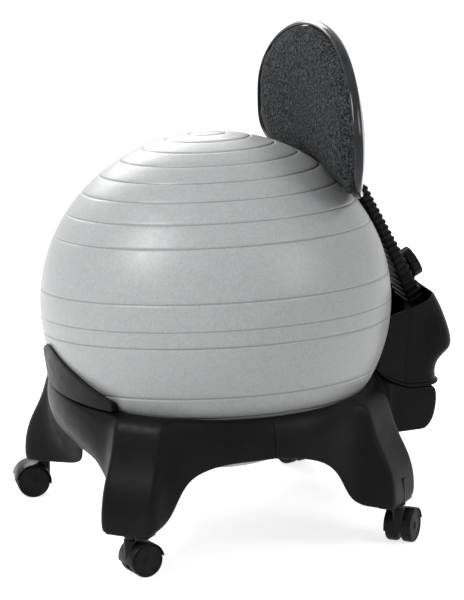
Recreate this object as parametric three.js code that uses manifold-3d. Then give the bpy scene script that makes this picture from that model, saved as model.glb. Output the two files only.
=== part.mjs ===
// Balance ball chair: an inflated ball held in a moulded four-legged base on castors,
// with a height-adjustable backrest on a steel bar. Millimetres, +Z up, the sitter faces -Y.
// The ball's vertical axis is the working axis; the last lines move the origin to the middle
// of the chair's footprint.
import * as THREE from "three";
import { mergeVertices } from "three/addons/utils/BufferGeometryUtils.js";
import Module from "manifold-3d";

const wasm = await Module();
wasm.setup();

// Clearances shared by all the pieces, and how far a cutting tool passes a face
const FIT = { gap: 0.3, seat: 0.8, running: 0.6, overrun: 2 };
const MERGE = 1e-3;
// How finely round shapes are drawn
const SEGMENTS = { ball: 32, rod: 12, wheel: 16, wheelSpace: 24, hoodArc: 6, finArc: 5, corner: 4, lobe: 4 };

// Ball: slightly flattened along its pole, which leans to the chair's right
const BALL = {
  radius: 260, flattening: 10.8, sink: 115.6, wall: 2.5,
  grooveWidth: 5, grooveDepth: 1.4, plugRadius: 6, capRadius: 9, capThickness: 1.6, plugDepth: 9,
};
BALL.poleRadius = BALL.radius - BALL.flattening;
const BALL_LEAN = THREE.MathUtils.degToRad(7.2);
const BALL_PASSES = 6;
// Ridge lines above the seat, and the plain rings between and below them, in degrees
const GROOVE_LATITUDES = [-7.4, 7.4, 26, 34.6, 43.2, 51.3, 59.6, 67.8];
const PLAIN_LATITUDES = [-84, -70, -56, -42, -29, -18, 0, 13.6, 19.8, 76, 84];
const INNER_LATITUDES = [-80, -62, -44, -27, -9, 9, 27, 44, 62, 80];

// Base: one moulded ring with four legs and a rear lobe, in a front and a rear half. Its reach
// in each direction is stated past the ball's radius.
const BASE = {
  wall: 4.5, seatFoot: 198, rim: 226, crest: 1.4, rimWidth: 9,
  apronPast: -1.5, apronFoot: 169, legPast: 46, footHeight: 62,
  frontPast: -10, frontTuck: 50, frontFoot: 126, frontStep: 1.5,
  lobePast: 61, lobeTop: 198.5, lobeRise: 22, lobeFoot: 129.5, lobeHalfWidth: 86,
};
BASE.apronRadius = BALL.radius + BASE.apronPast;
BASE.legRadius = BALL.radius + BASE.legPast;
BASE.frontRadius = BALL.radius + BASE.frontPast;
BASE.lobeReach = BALL.radius + BASE.lobePast;
BALL.height = BASE.rim + BALL.sink;
const SOCKET = {
  radius: 10.6, height: 41, plate: 5, halfWidth: 36, depth: 17.5, crossShare: 0.6,
};
// Where the castor stems stand, as shares of the legs' reach
const STANCE_SHARES = { side: 0.678, front: 0.6725, rear: 0.6875 };
const LEG_HALF_DEG = 8.2;
const REACH_FADE_DEG = 2.6;
// How much of a leg's height its lower edge keeps, by the degrees beside its middle
const HEIGHT_SHARES = [[0, 1], [5, 0.985], [8.2, 0.93], [10.5, 0.83], [11.8, 0.73], [13, 0.59],
  [14.5, 0.43], [17, 0.28], [20, 0.18], [25, 0.09], [31, 0.035], [45, 0]];
// How much wider than that a leg's foot spreads: under the front, the rear leg's side and the rest
const SPREAD_SHARES = { front: 1.6, rearSide: 1.42, plain: 1 };
const QUARTER_DEG = 45;
const LOBE_FADE_DEG = 2.6;
// Where the ring's columns stand beside each leg's middle, and the least angle between two
const COLUMN_STEPS_DEG = [0, 4.1, 8.2, 9.6, 11.2, 13.6, 17, 22, 27.5, 33, 39, 45];
const LEAST_COLUMN_DEG = 0.6;
// The least sine or cosine that a direction on the lobe is taken to have
const LEAST_TURN = 0.2;
const FRONT_HALF_DEG = 35;
const FRONT_FADE_DEG = 2.4;

// Guard at the front of the ring
const GUARD = { lean: 10, wall: 6.2, peak: 300, tip: 243, edge: 2.2, columns: 16 };
const GUARD_HALF_DEG = 34;

// Rear housing over the foot of the back bar
const HOUSING = {
  halfWidth: 84, past: 65, wall: 3, top: 337, frontTop: 306, bulge: 24, lip: 5,
  corner: 26, frontPast: -32, slopePast: 16, ballGap: 2.5, sideSeat: 2, sideLead: 8,
  rearShare: 0.6, swellShare: 0.9,
};
HOUSING.reach = BALL.radius + HOUSING.past;
HOUSING.front = BALL.radius + HOUSING.frontPast;
HOUSING.slope = BALL.radius + HOUSING.slopePast;
const HOUSING_SIDE_SHARES = [0.32, 0.55, 0.78, 1];

// Back bar, its sleeve, the ribbed boot over them and the clamping knob
const BAR = {
  width: 40, thickness: 6.5, foot: 312, z: 330, past: 48, bendPast: -66.49, bendRise: 289, stub: 91,
};
BAR.y = BALL.radius + BAR.past;
BAR.bendY = BALL.radius + BAR.bendPast;
BAR.bend = BALL.radius + BAR.bendRise;
BAR.top = BAR.bend + BAR.stub;
const BAR_LEAN = Math.atan2(BAR.y - BAR.bendY, BAR.bend - BAR.z);
const SLEEVE = { wall: 1.6, top: 412, foot: 282, slack: 0.5 };
const BOOT = {
  width: 64, rib: 2.7, wall: 1.2, foot: 319, swell: 9, pitch: 10.4,
  topShare: 0.635, swellShare: 0.55, ribShares: [0.3, 0.8], boreEvery: 5,
};
BOOT.top = SLEEVE.top + (BAR.bend - SLEEVE.top) * BOOT.topShare;
const KNOB = { radius: 23, thickness: 15, lobes: 8, lobeDepth: 1.5, standOff: 2.5, z: 360, bolt: 4 };
const FOOT = { width: 70, web: 24, thickness: 6, frontPast: 16, length: 35, toe: 13, height: 34 };
FOOT.front = BALL.radius + FOOT.frontPast;
FOOT.rear = FOOT.front + FOOT.length;
const FOOT_BOLT = { radius: 4.5, headRadius: 6.5, head: 4, inset: 6.7, end: 97, nut: 5, nutRadius: 8 };
FOOT_BOLT.y = FOOT.front + FOOT_BOLT.inset;

// Backrest: an oval pad in a plated trim, on a board in a dished shell
const BACK = {
  halfWidth: 201, above: 337, rise: 140, drop: 94, lift: 11, edgePast: -119.4, hollow: 20, kick: 40,
  kickDrop: 17, crown: 17, padEdge: 6, drawIn: 5, trim: 8, board: 5, shell: 3,
  ballGap: 3, roundAbove: 2, roundBelow: 2.9,
};
BACK.centre = BALL.radius + BACK.above;
BACK.kickFrom = BACK.centre - BACK.kickDrop;
BACK.edgeY = BALL.radius + BACK.edgePast;
const BACK_STEPS = 32;
const LAYER_SHARES = [0.3, 0.55, 0.75, 0.9];
const PAD_SHARES = [0.25, 0.5, 0.7, 0.85, 0.95];
// The powers by which the pad's crown, the shell's dish, the lobe's top and a leg's foot fall away
const FALL = { crown: 4, dish: 3, lobe: 1.5, arch: 4 };

// Twin-wheel hooded castor
const CASTOR = {
  wheelRadius: 25, wheelWidth: 17, hoodWall: 1.8, web: 7, trail: 19, barrel: 9, stem: 5.5,
  axle: 3, hub: 8, barrelTop: 57, collar: 8, tyreEdge: 2, dish: 1.5,
  discShare: 0.72,
};
// Where the hood's rim starts and ends round the wheels
const HOOD_DEG = { from: 12, to: 188 };
const SWIVELS_DEG = { front_left: 101, front_right: 262, rear_left: 139, rear_right: 197 };
const SWIVEL_ORDER = ["front_left", "front_right", "rear_left", "rear_right"];

// Fixings
const PLATE = {
  length: 64, height: 18, thickness: 3, z: 183, boltRadius: 3, headRadius: 5, head: 4, biteShare: 0.55,
};
const SCREW = { radius: 2.5, headRadius: 4.5, head: 3, length: 12, shares: [0.3, 0.8] };

const FINISH = {
  ball: { color: 0xabacad, roughness: 0.45, metalness: 0 },
  base: { color: 0x0f0f10, roughness: 0.5, metalness: 0 },
  guard: { color: 0x121213, roughness: 0.55, metalness: 0 },
  boot: { color: 0x121314, roughness: 0.6, metalness: 0 },
  knob: { color: 0x161617, roughness: 0.4, metalness: 0 },
  fabric: { color: 0x37383a, roughness: 0.95, metalness: 0 },
  gloss: { color: 0x0f1011, roughness: 0.15, metalness: 0 },
  chrome: { color: 0x404144, roughness: 0.15, metalness: 1 },
  steel: { color: 0x8d9094, roughness: 0.35, metalness: 1 },
  painted: { color: 0x202122, roughness: 0.4, metalness: 0.5 },
  board: { color: 0xa98d62, roughness: 0.8, metalness: 0 },
  hood: { color: 0x121314, roughness: 0.3, metalness: 0 },
  wheel: { color: 0x151617, roughness: 0.5, metalness: 0 },
  plug: { color: 0xe8e8e6, roughness: 0.5, metalness: 0 },
};

const chair = new THREE.Group();
const rad = THREE.MathUtils.degToRad;

// A geometry as one indexed skin of shared points, its faces turned outwards
function clean(geometry) {
  for (const name of ["normal", "uv"]) geometry.deleteAttribute(name);
  const merged = mergeVertices(geometry, MERGE);
  const from = merged.index.array;
  const points = merged.attributes.position;
  const kept = [];
  let volume = 0;
  const [a, b, c] = [new THREE.Vector3(), new THREE.Vector3(), new THREE.Vector3()];
  for (let i = 0; i < from.length; i += 3) {
    const [p, q, r] = [from[i], from[i + 1], from[i + 2]];
    if (p === q || q === r || r === p) continue;
    kept.push(p, q, r);
    a.fromBufferAttribute(points, p);
    b.fromBufferAttribute(points, q);
    c.fromBufferAttribute(points, r);
    volume += a.dot(b.cross(c));
  }
  if (volume < 0) kept.reverse();
  merged.setIndex(kept);
  return merged;
}

function toSolid(geometry) {
  const skin = clean(geometry);
  const vertProperties = new Float32Array(skin.attributes.position.array);
  const triVerts = new Uint32Array(skin.index.array);
  return new wasm.Manifold(new wasm.Mesh({ numProp: 3, vertProperties, triVerts }));
}

function toGeometry(solid) {
  const mesh = solid.getMesh();
  const geometry = new THREE.BufferGeometry();
  geometry.setAttribute("position", new THREE.BufferAttribute(new Float32Array(mesh.vertProperties), 3));
  geometry.setIndex([...mesh.triVerts]);
  return geometry;
}

function join(first, ...others) {
  return toGeometry(others.reduce((all, next) => all.add(toSolid(next)), toSolid(first)));
}

function cut(first, ...tools) {
  return toGeometry(tools.reduce((rest, tool) => rest.subtract(toSolid(tool)), toSolid(first)));
}

// A skin over rings of equally many points. Each ring closes on itself; the rings close into
// a loop, or end in caps that join point i to the point opposite it.
function skin(rings, loop) {
  const count = rings[0].length;
  const position = rings.flat().flatMap((p) => [p.x, p.y, p.z]);
  const index = [];
  const quad = (a, b, c, d) => index.push(a, b, c, a, c, d);
  const steps = loop ? rings.length : rings.length - 1;
  for (let i = 0; i < steps; i++) {
    const here = i * count;
    const next = ((i + 1) % rings.length) * count;
    for (let j = 0; j < count; j++) {
      const k = (j + 1) % count;
      quad(here + j, next + j, next + k, here + k);
    }
  }
  if (!loop) {
    const last = (rings.length - 1) * count;
    for (let j = 0; j < count / 2 - 1; j++) {
      const [m, n] = [count - 1 - j, count - 2 - j];
      quad(j, j + 1, n, m);
      quad(last + m, last + n, last + j + 1, last + j);
    }
  }
  const geometry = new THREE.BufferGeometry();
  geometry.setAttribute("position", new THREE.Float32BufferAttribute(position, 3));
  geometry.setIndex(index);
  return clean(geometry);
}

// A solid turned about Z from [radius, height] points
function turned(profile, segments) {
  const lathe = new THREE.LatheGeometry(profile.map(([r, z]) => new THREE.Vector2(r, z)), segments);
  return clean(lathe.rotateX(Math.PI / 2));
}

function rod(radius, from, to, segments = SEGMENTS.rod) {
  return turned([[0, from], [radius, from], [radius, to], [0, to]], segments);
}

function block(width, depth, height) {
  return clean(new THREE.BoxGeometry(width, depth, height));
}

// An outline of [x, y] points drawn up from z = 0
function plate(points, depth) {
  const outline = new THREE.Shape(points.map(([x, y]) => new THREE.Vector2(x, y)));
  return clean(new THREE.ExtrudeGeometry(outline, { depth, bevelEnabled: false }));
}

function add(name, geometry, finish, parent = chair) {
  const mesh = new THREE.Mesh(geometry, new THREE.MeshStandardMaterial(FINISH[finish]));
  mesh.name = name;
  parent.add(mesh);
  return mesh;
}

// Distance from the vertical axis to the leaning ball, in a direction and at a height
function ballReach(azimuth, z) {
  const lift = z - BALL.height;
  const across = -Math.sin(BALL_LEAN) * Math.cos(azimuth);
  const along = Math.cos(BALL_LEAN) * lift;
  const flat = 1 / BALL.poleRadius ** 2 - 1 / BALL.radius ** 2;
  const a = 1 / BALL.radius ** 2 + flat * across * across;
  const b = flat * across * along;
  const c = (lift / BALL.radius) ** 2 + flat * along * along - 1;
  return (-b + Math.sqrt(Math.max(b * b - a * c, 0))) / a;
}

// How far back the ball reaches at a place beside its middle plane and at a height
function ballBack(x, z) {
  let azimuth = Math.PI / 2;
  let y = 0;
  for (let pass = 0; pass < BALL_PASSES; pass++) {
    const reach = ballReach(azimuth, z);
    y = Math.sqrt(Math.max(reach * reach - x * x, 0));
    azimuth = Math.atan2(y, x);
  }
  return y;
}

// The ball's skin: a ridged outer face, the pole hole for its plug, and a smooth inner face
function makeBall() {
  const { radius, poleRadius, wall, grooveWidth, grooveDepth, plugRadius } = BALL;
  const onOval = (latitude, depth) => [
    (radius - depth) * Math.cos(latitude), (poleRadius - depth) * Math.sin(latitude)];
  const half = grooveWidth / 2 / radius;
  const grooves = GROOVE_LATITUDES.map(rad).flatMap((line) => [
    [line - half, 0], [line, grooveDepth], [line + half, 0]]);
  const plain = PLAIN_LATITUDES.map((line) => [rad(line), 0]);
  const outer = [...grooves, ...plain].sort((a, b) => a[0] - b[0])
    .map(([latitude, depth]) => onOval(latitude, depth));
  const inner = INNER_LATITUDES.map((line) => onOval(rad(line), wall)).reverse();
  const mouth = (depth) => [
    plugRadius, -(poleRadius - depth) * Math.sqrt(1 - (plugRadius / radius) ** 2)];
  return turned([mouth(0), ...outer, [0, poleRadius], [0, poleRadius - wall], ...inner,
    mouth(wall), mouth(0)], SEGMENTS.ball);
}

function makePlug() {
  const { poleRadius, plugRadius, capRadius, capThickness, plugDepth } = BALL;
  const seat = -poleRadius - FIT.gap;
  const pin = plugRadius - FIT.gap;
  return turned([[0, seat - capThickness], [capRadius, seat - capThickness], [capRadius, seat],
    [pin, seat], [pin, seat + plugDepth], [0, seat + plugDepth]], SEGMENTS.wheel);
}

function addBall() {
  const seat = new THREE.Group();
  seat.position.z = BALL.height;
  seat.rotation.y = -BALL_LEAN;
  add("ball_skin", makeBall(), "ball", seat);
  add("ball_plug", makePlug(), "plug", seat);
  chair.add(seat);
}

// Where each leg's castor stem stands
const LEGS = SWIVEL_ORDER.map((name) => {
  const { side, front, rear } = STANCE_SHARES;
  const x = BASE.legRadius * side * (name.endsWith("left") ? 1 : -1);
  const y = BASE.legRadius * (name.startsWith("front") ? -front : rear);
  return { name, x, y, azimuth: Math.atan2(y, x), radius: Math.hypot(x, y) };
});

// The profiles of the base, from the seat's foot over the rim to the outer edge. Each is a
// list of [radius, height] points from shares of the way out and down; the seat is common.
function seatProfile(azimuth) {
  const { seatFoot, rim, crest, rimWidth } = BASE;
  const middle = (seatFoot + rim) / 2;
  const onBall = (z) => [ballReach(azimuth, z) + FIT.seat, z];
  const [edge] = onBall(rim);
  return [onBall(seatFoot), onBall(middle), [edge, rim], [edge + rimWidth, rim + crest]];
}

function between(low, high, share) {
  return low + (high - low) * share;
}

function apronProfile(crest) {
  const { apronRadius, apronFoot, rim } = BASE;
  const shares = [[0.34, 0.07], [0.55, 0.17], [0.7, 0.28], [0.82, 0.4], [0.91, 0.53], [0.97, 0.66],
    [1, 0.79], [1.01, 0.9], [0.98, 1]];
  return shares.map(([out, down]) => [between(crest, apronRadius, out), between(rim, apronFoot, down)]);
}

function legProfile(crest) {
  const { legRadius, footHeight, rim } = BASE;
  const shares = [[0.19, 0.02], [0.33, 0.075], [0.41, 0.16], [0.48, 0.27], [0.6, 0.405],
    [0.81, 0.56], [0.94, 0.7], [1, 0.85], [0.99, 1]];
  return shares.map(([out, down]) => [between(crest, legRadius, out), between(rim, footHeight, down)]);
}

// The lobe's top: level under the bar's foot, rising to the ring ahead of it
function lobeHeight(y) {
  const ahead = Math.max(0, (HOUSING.slope - y) / (HOUSING.slope - HOUSING.front));
  return BASE.lobeTop + BASE.lobeRise * ahead ** FALL.lobe;
}

function lobeProfile(crest, azimuth) {
  const { apronRadius, lobeReach, lobeHalfWidth, lobeTop, lobeFoot, rim } = BASE;
  const rear = lobeReach / Math.max(Math.sin(azimuth), LEAST_TURN);
  const beside = lobeHalfWidth / Math.max(Math.abs(Math.cos(azimuth)), LEAST_TURN);
  const reach = Math.max(apronRadius, Math.min(rear, beside));
  const topShares = [[0.08, 0.7], [0.25, 1], [0.44, 1], [0.68, 1], [0.9, 1], [0.98, 1.15]];
  const sideShares = [[1, 0.3], [0.95, 0.78], [0.8, 1]];
  const top = topShares.map(([out, down]) => {
    const r = between(crest, reach, out);
    return [r, between(rim, Math.min(rim, lobeHeight(r * Math.sin(azimuth))), down)];
  });
  const side = sideShares.map(([out, down]) => [
    between(crest, reach, out), between(lobeTop, lobeFoot, down)]);
  return [...top, ...side];
}

// The front: a level step for the guard, then a bowl that tucks in below
function frontProfile(crest) {
  const { frontRadius, frontTuck, frontFoot, frontStep, rim } = BASE;
  const shares = [[0, 0.04], [-0.02, 0.13], [0.01, 0.3], [0.09, 0.47], [0.24, 0.63], [0.5, 0.8], [1, 1]];
  const stepShares = [0.4, 0.95];
  const step = stepShares.map((out) => [between(crest, frontRadius, out), rim + frontStep]);
  return [...step, ...shares.map(([into, down]) => [
    frontRadius - frontTuck * into, between(rim, frontFoot, down)])];
}

// How much of a leg, the lobe or the front a direction shows: 1 across its face, fading beside it
function share(azimuth, centre, half, fade) {
  const away = Math.abs(Math.atan2(Math.sin(azimuth - centre), Math.cos(azimuth - centre)));
  return away < half ? 1 : Math.exp((half - away) / fade);
}

function lobeHalf() {
  return Math.atan2(BASE.lobeHalfWidth, HOUSING.front);
}

// How much of a leg's height the lower edge keeps at a turn beside it
function heightShare(leg, away) {
  const [front, side] = [leg.y < 0, away * leg.x * leg.y < 0];
  const spread = front && !side ? SPREAD_SHARES.front : !front && side ? SPREAD_SHARES.rearSide
    : SPREAD_SHARES.plain;
  const turn = Math.abs(THREE.MathUtils.radToDeg(away));
  const at = Math.min(turn / spread, QUARTER_DEG);
  const i = Math.max(1, HEIGHT_SHARES.findIndex(([angle]) => angle >= at));
  const [[a0, s0], [a1, s1]] = [HEIGHT_SHARES[i - 1], HEIGHT_SHARES[i]];
  const kept = between(s0, s1, (at - a0) / (a1 - a0));
  return kept * (1 - Math.min(turn / QUARTER_DEG, 1) ** FALL.arch);
}

// The profile at a direction; the legs' flanks are drawn in by a thickness for the inner face
function profileAt(azimuth, thickness) {
  const seat = seatProfile(azimuth);
  const crest = seat[seat.length - 1][0];
  const away = (leg) => Math.atan2(Math.sin(azimuth - leg.azimuth), Math.cos(azimuth - leg.azimuth));
  const leg = LEGS.reduce((best, item) => (Math.abs(away(item)) < Math.abs(away(best)) ? item : best));
  const half = rad(LEG_HALF_DEG);
  const narrow = half - thickness / BASE.legRadius;
  const outwards = share(azimuth, leg.azimuth, narrow, rad(REACH_FADE_DEG));
  const downwards = heightShare(leg, away(leg));
  const lobe = share(azimuth, Math.PI / 2, lobeHalf(), rad(LOBE_FADE_DEG));
  const front = share(azimuth, -Math.PI / 2, rad(FRONT_HALF_DEG), rad(FRONT_FADE_DEG));
  const flat = 1 / Math.cos(Math.min(Math.abs(away(leg)), half));
  const [tall, rear, bowl] = [legProfile(crest), lobeProfile(crest, azimuth), frontProfile(crest)];
  const lower = apronProfile(crest).map(([sideR, sideZ], i) => {
    const r = between(sideR, bowl[i][0], front * (1 - outwards));
    const z = between(sideZ, bowl[i][1], front * (1 - downwards));
    const reach = between(r, tall[i][0] * flat, outwards);
    const height = between(z, tall[i][1], downwards);
    return [between(reach, rear[i][0], lobe), between(height, rear[i][1], lobe)];
  });
  return [...seat, ...lower];
}

// The profile moved one wall inwards, to its right-hand side
function inset(profile, wall) {
  return profile.map(([r, z], i) => {
    const [r0, z0] = profile[Math.max(i - 1, 0)];
    const [r1, z1] = profile[Math.min(i + 1, profile.length - 1)];
    const length = Math.hypot(r1 - r0, z1 - z0);
    return [r + (z1 - z0) / length * wall, z - (r1 - r0) / length * wall];
  });
}

function baseColumns(from, to) {
  const quarters = LEGS.filter((leg) => leg.azimuth > from && leg.azimuth < to)
    .sort((a, b) => a.azimuth - b.azimuth);
  const found = new Set();
  for (const { azimuth } of quarters) {
    const start = Math.floor(azimuth / (Math.PI / 2)) * Math.PI / 2;
    for (const step of COLUMN_STEPS_DEG.map((angle) => rad(angle) / (Math.PI / 4))) {
      found.add(azimuth - (azimuth - start) * step);
      found.add(azimuth + (start + Math.PI / 2 - azimuth) * step);
    }
  }
  const corner = Math.atan2(BASE.lobeHalfWidth, BASE.lobeReach);
  const wall = housingPath().filter(([x, y]) => x > 0 && y > HOUSING.front);
  const walls = wall.map(([x, y]) => Math.atan2(x, y));
  const beside = walls.filter((half) => half > corner);
  for (const half of [corner / 2, corner, ...beside, lobeHalf(), lobeHalf() + rad(LOBE_FADE_DEG)]) {
    for (const side of [-1, 1]) found.add(Math.PI / 2 + side * half);
  }
  for (const side of [-1, 1]) found.add(-Math.PI / 2 + side * rad(FRONT_HALF_DEG));
  const [low, high] = [from - MERGE, to + MERGE];
  const sorted = [...found].filter((a) => a >= low && a <= high).sort((a, b) => a - b);
  return sorted.filter((a, i) => i === 0 || a - sorted[i - 1] > rad(LEAST_COLUMN_DEG));
}

function baseShell(from, to) {
  const rings = baseColumns(from, to).map((azimuth) => {
    const inner = inset(profileAt(azimuth, BASE.wall), BASE.wall);
    const section = [...profileAt(azimuth, 0), ...inner.reverse()];
    return section.map(([r, z]) => new THREE.Vector3(r * Math.cos(azimuth), r * Math.sin(azimuth), z));
  });
  return skin(rings, false);
}

// The castor socket inside a leg: a floor plate, a bored post and a rib to the outer wall
function legSocket(leg) {
  const { radius, height, plate: floor, halfWidth, depth, crossShare } = SOCKET;
  const reach = BASE.legRadius - leg.radius - BASE.wall / 2;
  const base = block(depth + reach, halfWidth * 2, floor);
  base.translate((reach - depth) / 2, 0, floor / 2);
  const rib = block(reach, BASE.wall, height);
  rib.translate(reach / 2 - BASE.wall, 0, height / 2);
  const cross = block(BASE.wall, halfWidth * 2, height * crossShare);
  cross.translate(0, 0, height * crossShare / 2);
  const post = rod(radius, 0, height);
  return [base, rib, cross, post].map((piece) =>
    piece.rotateZ(leg.azimuth).translate(leg.x, leg.y, BASE.footHeight));
}

function stemBore(leg) {
  const bore = rod(CASTOR.stem + FIT.running, -FIT.overrun, SOCKET.height - BASE.wall);
  return bore.translate(leg.x, leg.y, BASE.footHeight);
}

function plateX() {
  const lowest = BASE.apronRadius - BASE.wall * 2;
  return lowest - (PLATE.length / 2) ** 2 / (2 * lowest) - PLATE.thickness;
}

// How far a joint bolt's hole goes from the plate into the apron's wall
function boltReach() {
  return BASE.apronRadius - BASE.wall * PLATE.biteShare - plateX();
}

// Blind holes in the apron's inner face for the bolts of a joint plate
function plateHoles(side, end) {
  const x = plateX();
  const hole = rod(PLATE.boltRadius + FIT.running, 0, boltReach());
  hole.rotateY(Math.PI / 2).translate(x, end * PLATE.length / 4, PLATE.z);
  return side < 0 ? clean(hole.scale(-1, 1, 1)) : hole;
}

function addJointPlates() {
  const x = plateX();
  for (const side of [-1, 1]) {
    const name = side > 0 ? "left" : "right";
    const flat = block(PLATE.thickness, PLATE.length, PLATE.height);
    flat.translate(side * (x - PLATE.thickness / 2), 0, PLATE.z);
    const holes = [-1, 1].map((end) => {
      const hole = rod(PLATE.boltRadius + FIT.gap, -PLATE.thickness - FIT.overrun, PLATE.thickness);
      return hole.rotateY(Math.PI / 2 * side).translate(side * x, end * PLATE.length / 4, PLATE.z);
    });
    add(`joint_plate_${name}`, cut(flat, ...holes), "steel");
    for (const end of [-1, 1]) {
      const depth = boltReach() - FIT.gap;
      const under = -PLATE.thickness - FIT.gap;
      const bolt = turned([[0, under - PLATE.head], [PLATE.headRadius, under - PLATE.head],
        [PLATE.headRadius, under], [PLATE.boltRadius, under], [PLATE.boltRadius, depth], [0, depth]],
      SEGMENTS.rod);
      bolt.rotateY(Math.PI / 2 * side).translate(side * x, end * PLATE.length / 4, PLATE.z);
      add(`joint_bolt_${name}_${end > 0 ? "rear" : "front"}`, clean(bolt), "steel");
    }
  }
}

// A piece built round the origin, set on the back bar's line at a height
function onBar(geometry, z) {
  geometry.rotateX(BAR_LEAN);
  return geometry.translate(0, BAR.y - (z - BAR.z) * Math.tan(BAR_LEAN), z);
}

function addBase() {
  const [front, rear] = [LEGS.slice(0, 2), LEGS.slice(2)];
  const frontBody = join(baseShell(-Math.PI, 0), ...front.flatMap(legSocket));
  const rearBody = join(baseShell(0, Math.PI), ...rear.flatMap(legSocket));
  const frontHoles = [...front.map(stemBore), plateHoles(-1, -1), plateHoles(1, -1)];
  const rearHoles = [...rear.map(stemBore), plateHoles(-1, 1), plateHoles(1, 1), footBoltHole()];
  add("base_front", cut(frontBody, ...frontHoles), "base").position.y = -FIT.gap / 2;
  add("base_rear", cut(rearBody, ...rearHoles), "base").position.y = FIT.gap / 2;
  addJointPlates();
}

// A wall round the front of the ring that keeps the ball from rolling off
function addGuard() {
  const { lean, wall, peak, tip, edge, columns } = GUARD;
  const foot = BASE.rim + BASE.frontStep + FIT.gap;
  const out = BASE.frontRadius + FIT.gap;
  const half = rad(GUARD_HALF_DEG);
  const rings = [];
  for (let i = 0; i <= columns; i++) {
    const turn = between(-half, half, i / columns);
    const azimuth = turn - Math.PI / 2;
    const top = between(peak, tip, Math.abs(turn) / half);
    const middle = (foot + top) / 2;
    const ball = (z) => ballReach(azimuth, z) + FIT.seat;
    const rise = (z) => out + lean * (z - foot) / (peak - foot);
    const section = [
      [out, foot], [rise(top - edge), top - edge], [rise(top) - edge, top],
      [Math.max(ball(top), rise(top) - wall), top], [ball(middle), middle], [ball(foot), foot]];
    rings.push(section.map(([r, z]) => new THREE.Vector3(r * Math.cos(azimuth), r * Math.sin(azimuth), z)));
  }
  add("front_guard", skin(rings, false), "guard");
}

// The housing's wall in plan: down one side, round the rear corners and up the other side
function housingPath() {
  const { halfWidth, reach, corner, front, rearShare } = HOUSING;
  const half = [[0, reach, 0, 1], [(halfWidth - corner) * rearShare, reach, 0, 1]];
  for (let i = 0; i <= SEGMENTS.corner; i++) {
    const turn = i / SEGMENTS.corner * Math.PI / 2;
    const [nx, ny] = [Math.sin(turn), Math.cos(turn)];
    half.push([halfWidth - corner + corner * nx, reach - corner + corner * ny, nx, ny]);
  }
  for (const share of HOUSING_SIDE_SHARES) {
    half.push([halfWidth, between(reach - corner, front, share), 1, 0]);
  }
  const mirrored = half.slice(1).reverse().map(([x, y, nx, ny]) => [-x, y, -nx, ny]);
  return [...mirrored, ...half];
}

function addHousing() {
  const { halfWidth, wall, top, frontTop, bulge, lip, front, reach, corner, swellShare } = HOUSING;
  const { ballGap, sideSeat, sideLead } = HOUSING;
  const shares = [[0, 0], [0.02, 0], [0.045, 0], [0.14, 0], [0.26, 0.2], [0.39, 0.9], [0.48, 1],
    [0.58, 0.93], [0.76, 0.55], [1, -0.1]];
  // The side walls' front edges follow the ball, so each row's columns draw back with it
  const turnIn = reach - corner;
  const rowY = (y, z) => {
    const edge = Math.max(front, ballBack(halfWidth - wall, z) + ballGap);
    return y > turnIn ? y : between(turnIn, edge, (turnIn - y) / (turnIn - front));
  };
  const rings = housingPath().map(([x, y, nx, ny]) => {
    const place = (out, up) => {
      const nominal = between(lobeHeight(y), between(frontTop, top, (y - front) / (reach - front)), up);
      const row = rowY(y, nominal);
      const foot = y > turnIn ? lobeHeight(row) + FIT.gap : lobeHeight(row - sideLead) + sideSeat;
      const high = between(frontTop, top, (row - front) / (reach - front));
      return new THREE.Vector3(x + nx * out, row + ny * out, between(foot, high, up));
    };
    const swell = bulge * THREE.MathUtils.smoothstep(ny, 0, swellShare);
    const outer = shares.map(([up, out], i) => [swell * out + (i < 2 ? lip : 0), up]);
    return [...outer.map(([out, up]) => place(out, up)),
      ...outer.map(([out, up], i) => place(out - wall - (i < 2 ? lip : 0), up)).reverse()];
  });
  add("rear_housing", skin(rings, false), "base");
}

function sleeveSize() {
  const grow = 2 * (SLEEVE.slack + SLEEVE.wall);
  return { width: BAR.width + grow, depth: BAR.thickness + grow };
}

function barLength(from, to) {
  return (to - from) / Math.cos(BAR_LEAN);
}

// The steel foot that carries the sleeve on the base's rear lobe
function addFoot() {
  const { width, web, thickness, front, rear, toe, height } = FOOT;
  const floor = BASE.lobeTop + FIT.gap;
  const face = (z) => BAR.y - (z - BAR.z) * Math.tan(BAR_LEAN)
    - (sleeveSize().depth / 2 + FIT.gap) / Math.cos(BAR_LEAN);
  const high = SLEEVE.foot + height;
  const flat = block(width, rear - front, thickness);
  flat.translate(0, (front + rear) / 2, floor + thickness / 2);
  const low = floor + thickness / 2;
  const side = plate([[front + toe, low], [rear, low], [face(SLEEVE.foot), SLEEVE.foot],
    [face(high), high]], web);
  side.rotateX(Math.PI / 2).rotateZ(Math.PI / 2).translate(-web / 2, 0, 0);
  add("bar_foot", cut(join(flat, clean(side)), footBoltHole()), "painted");
}

function footBoltHole() {
  const hole = rod(FOOT_BOLT.radius + FIT.gap, -FOOT.thickness * 2, FOOT.thickness * 2);
  return hole.translate(0, FOOT_BOLT.y, BASE.lobeTop);
}

// The bolt that holds the foot on the lobe, its end standing out below, and its nut
function addFootBolt() {
  const { radius, headRadius, head, y, end, nut, nutRadius } = FOOT_BOLT;
  const seat = BASE.lobeTop + FOOT.thickness + FIT.gap * 2;
  const bolt = turned([[0, end], [radius, end], [radius, seat], [headRadius, seat],
    [headRadius, seat + head], [0, seat + head]], SEGMENTS.rod);
  add("foot_bolt", bolt.translate(0, y, 0), "steel");
  const top = BASE.lobeTop - BASE.wall - FIT.gap;
  const bore = radius + FIT.gap;
  const ring = turned([[bore, top - nut], [nutRadius, top - nut], [nutRadius, top], [bore, top],
    [bore, top - nut]], SEGMENTS.rod);
  add("foot_nut", ring.translate(0, y, 0), "steel");
}

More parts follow.
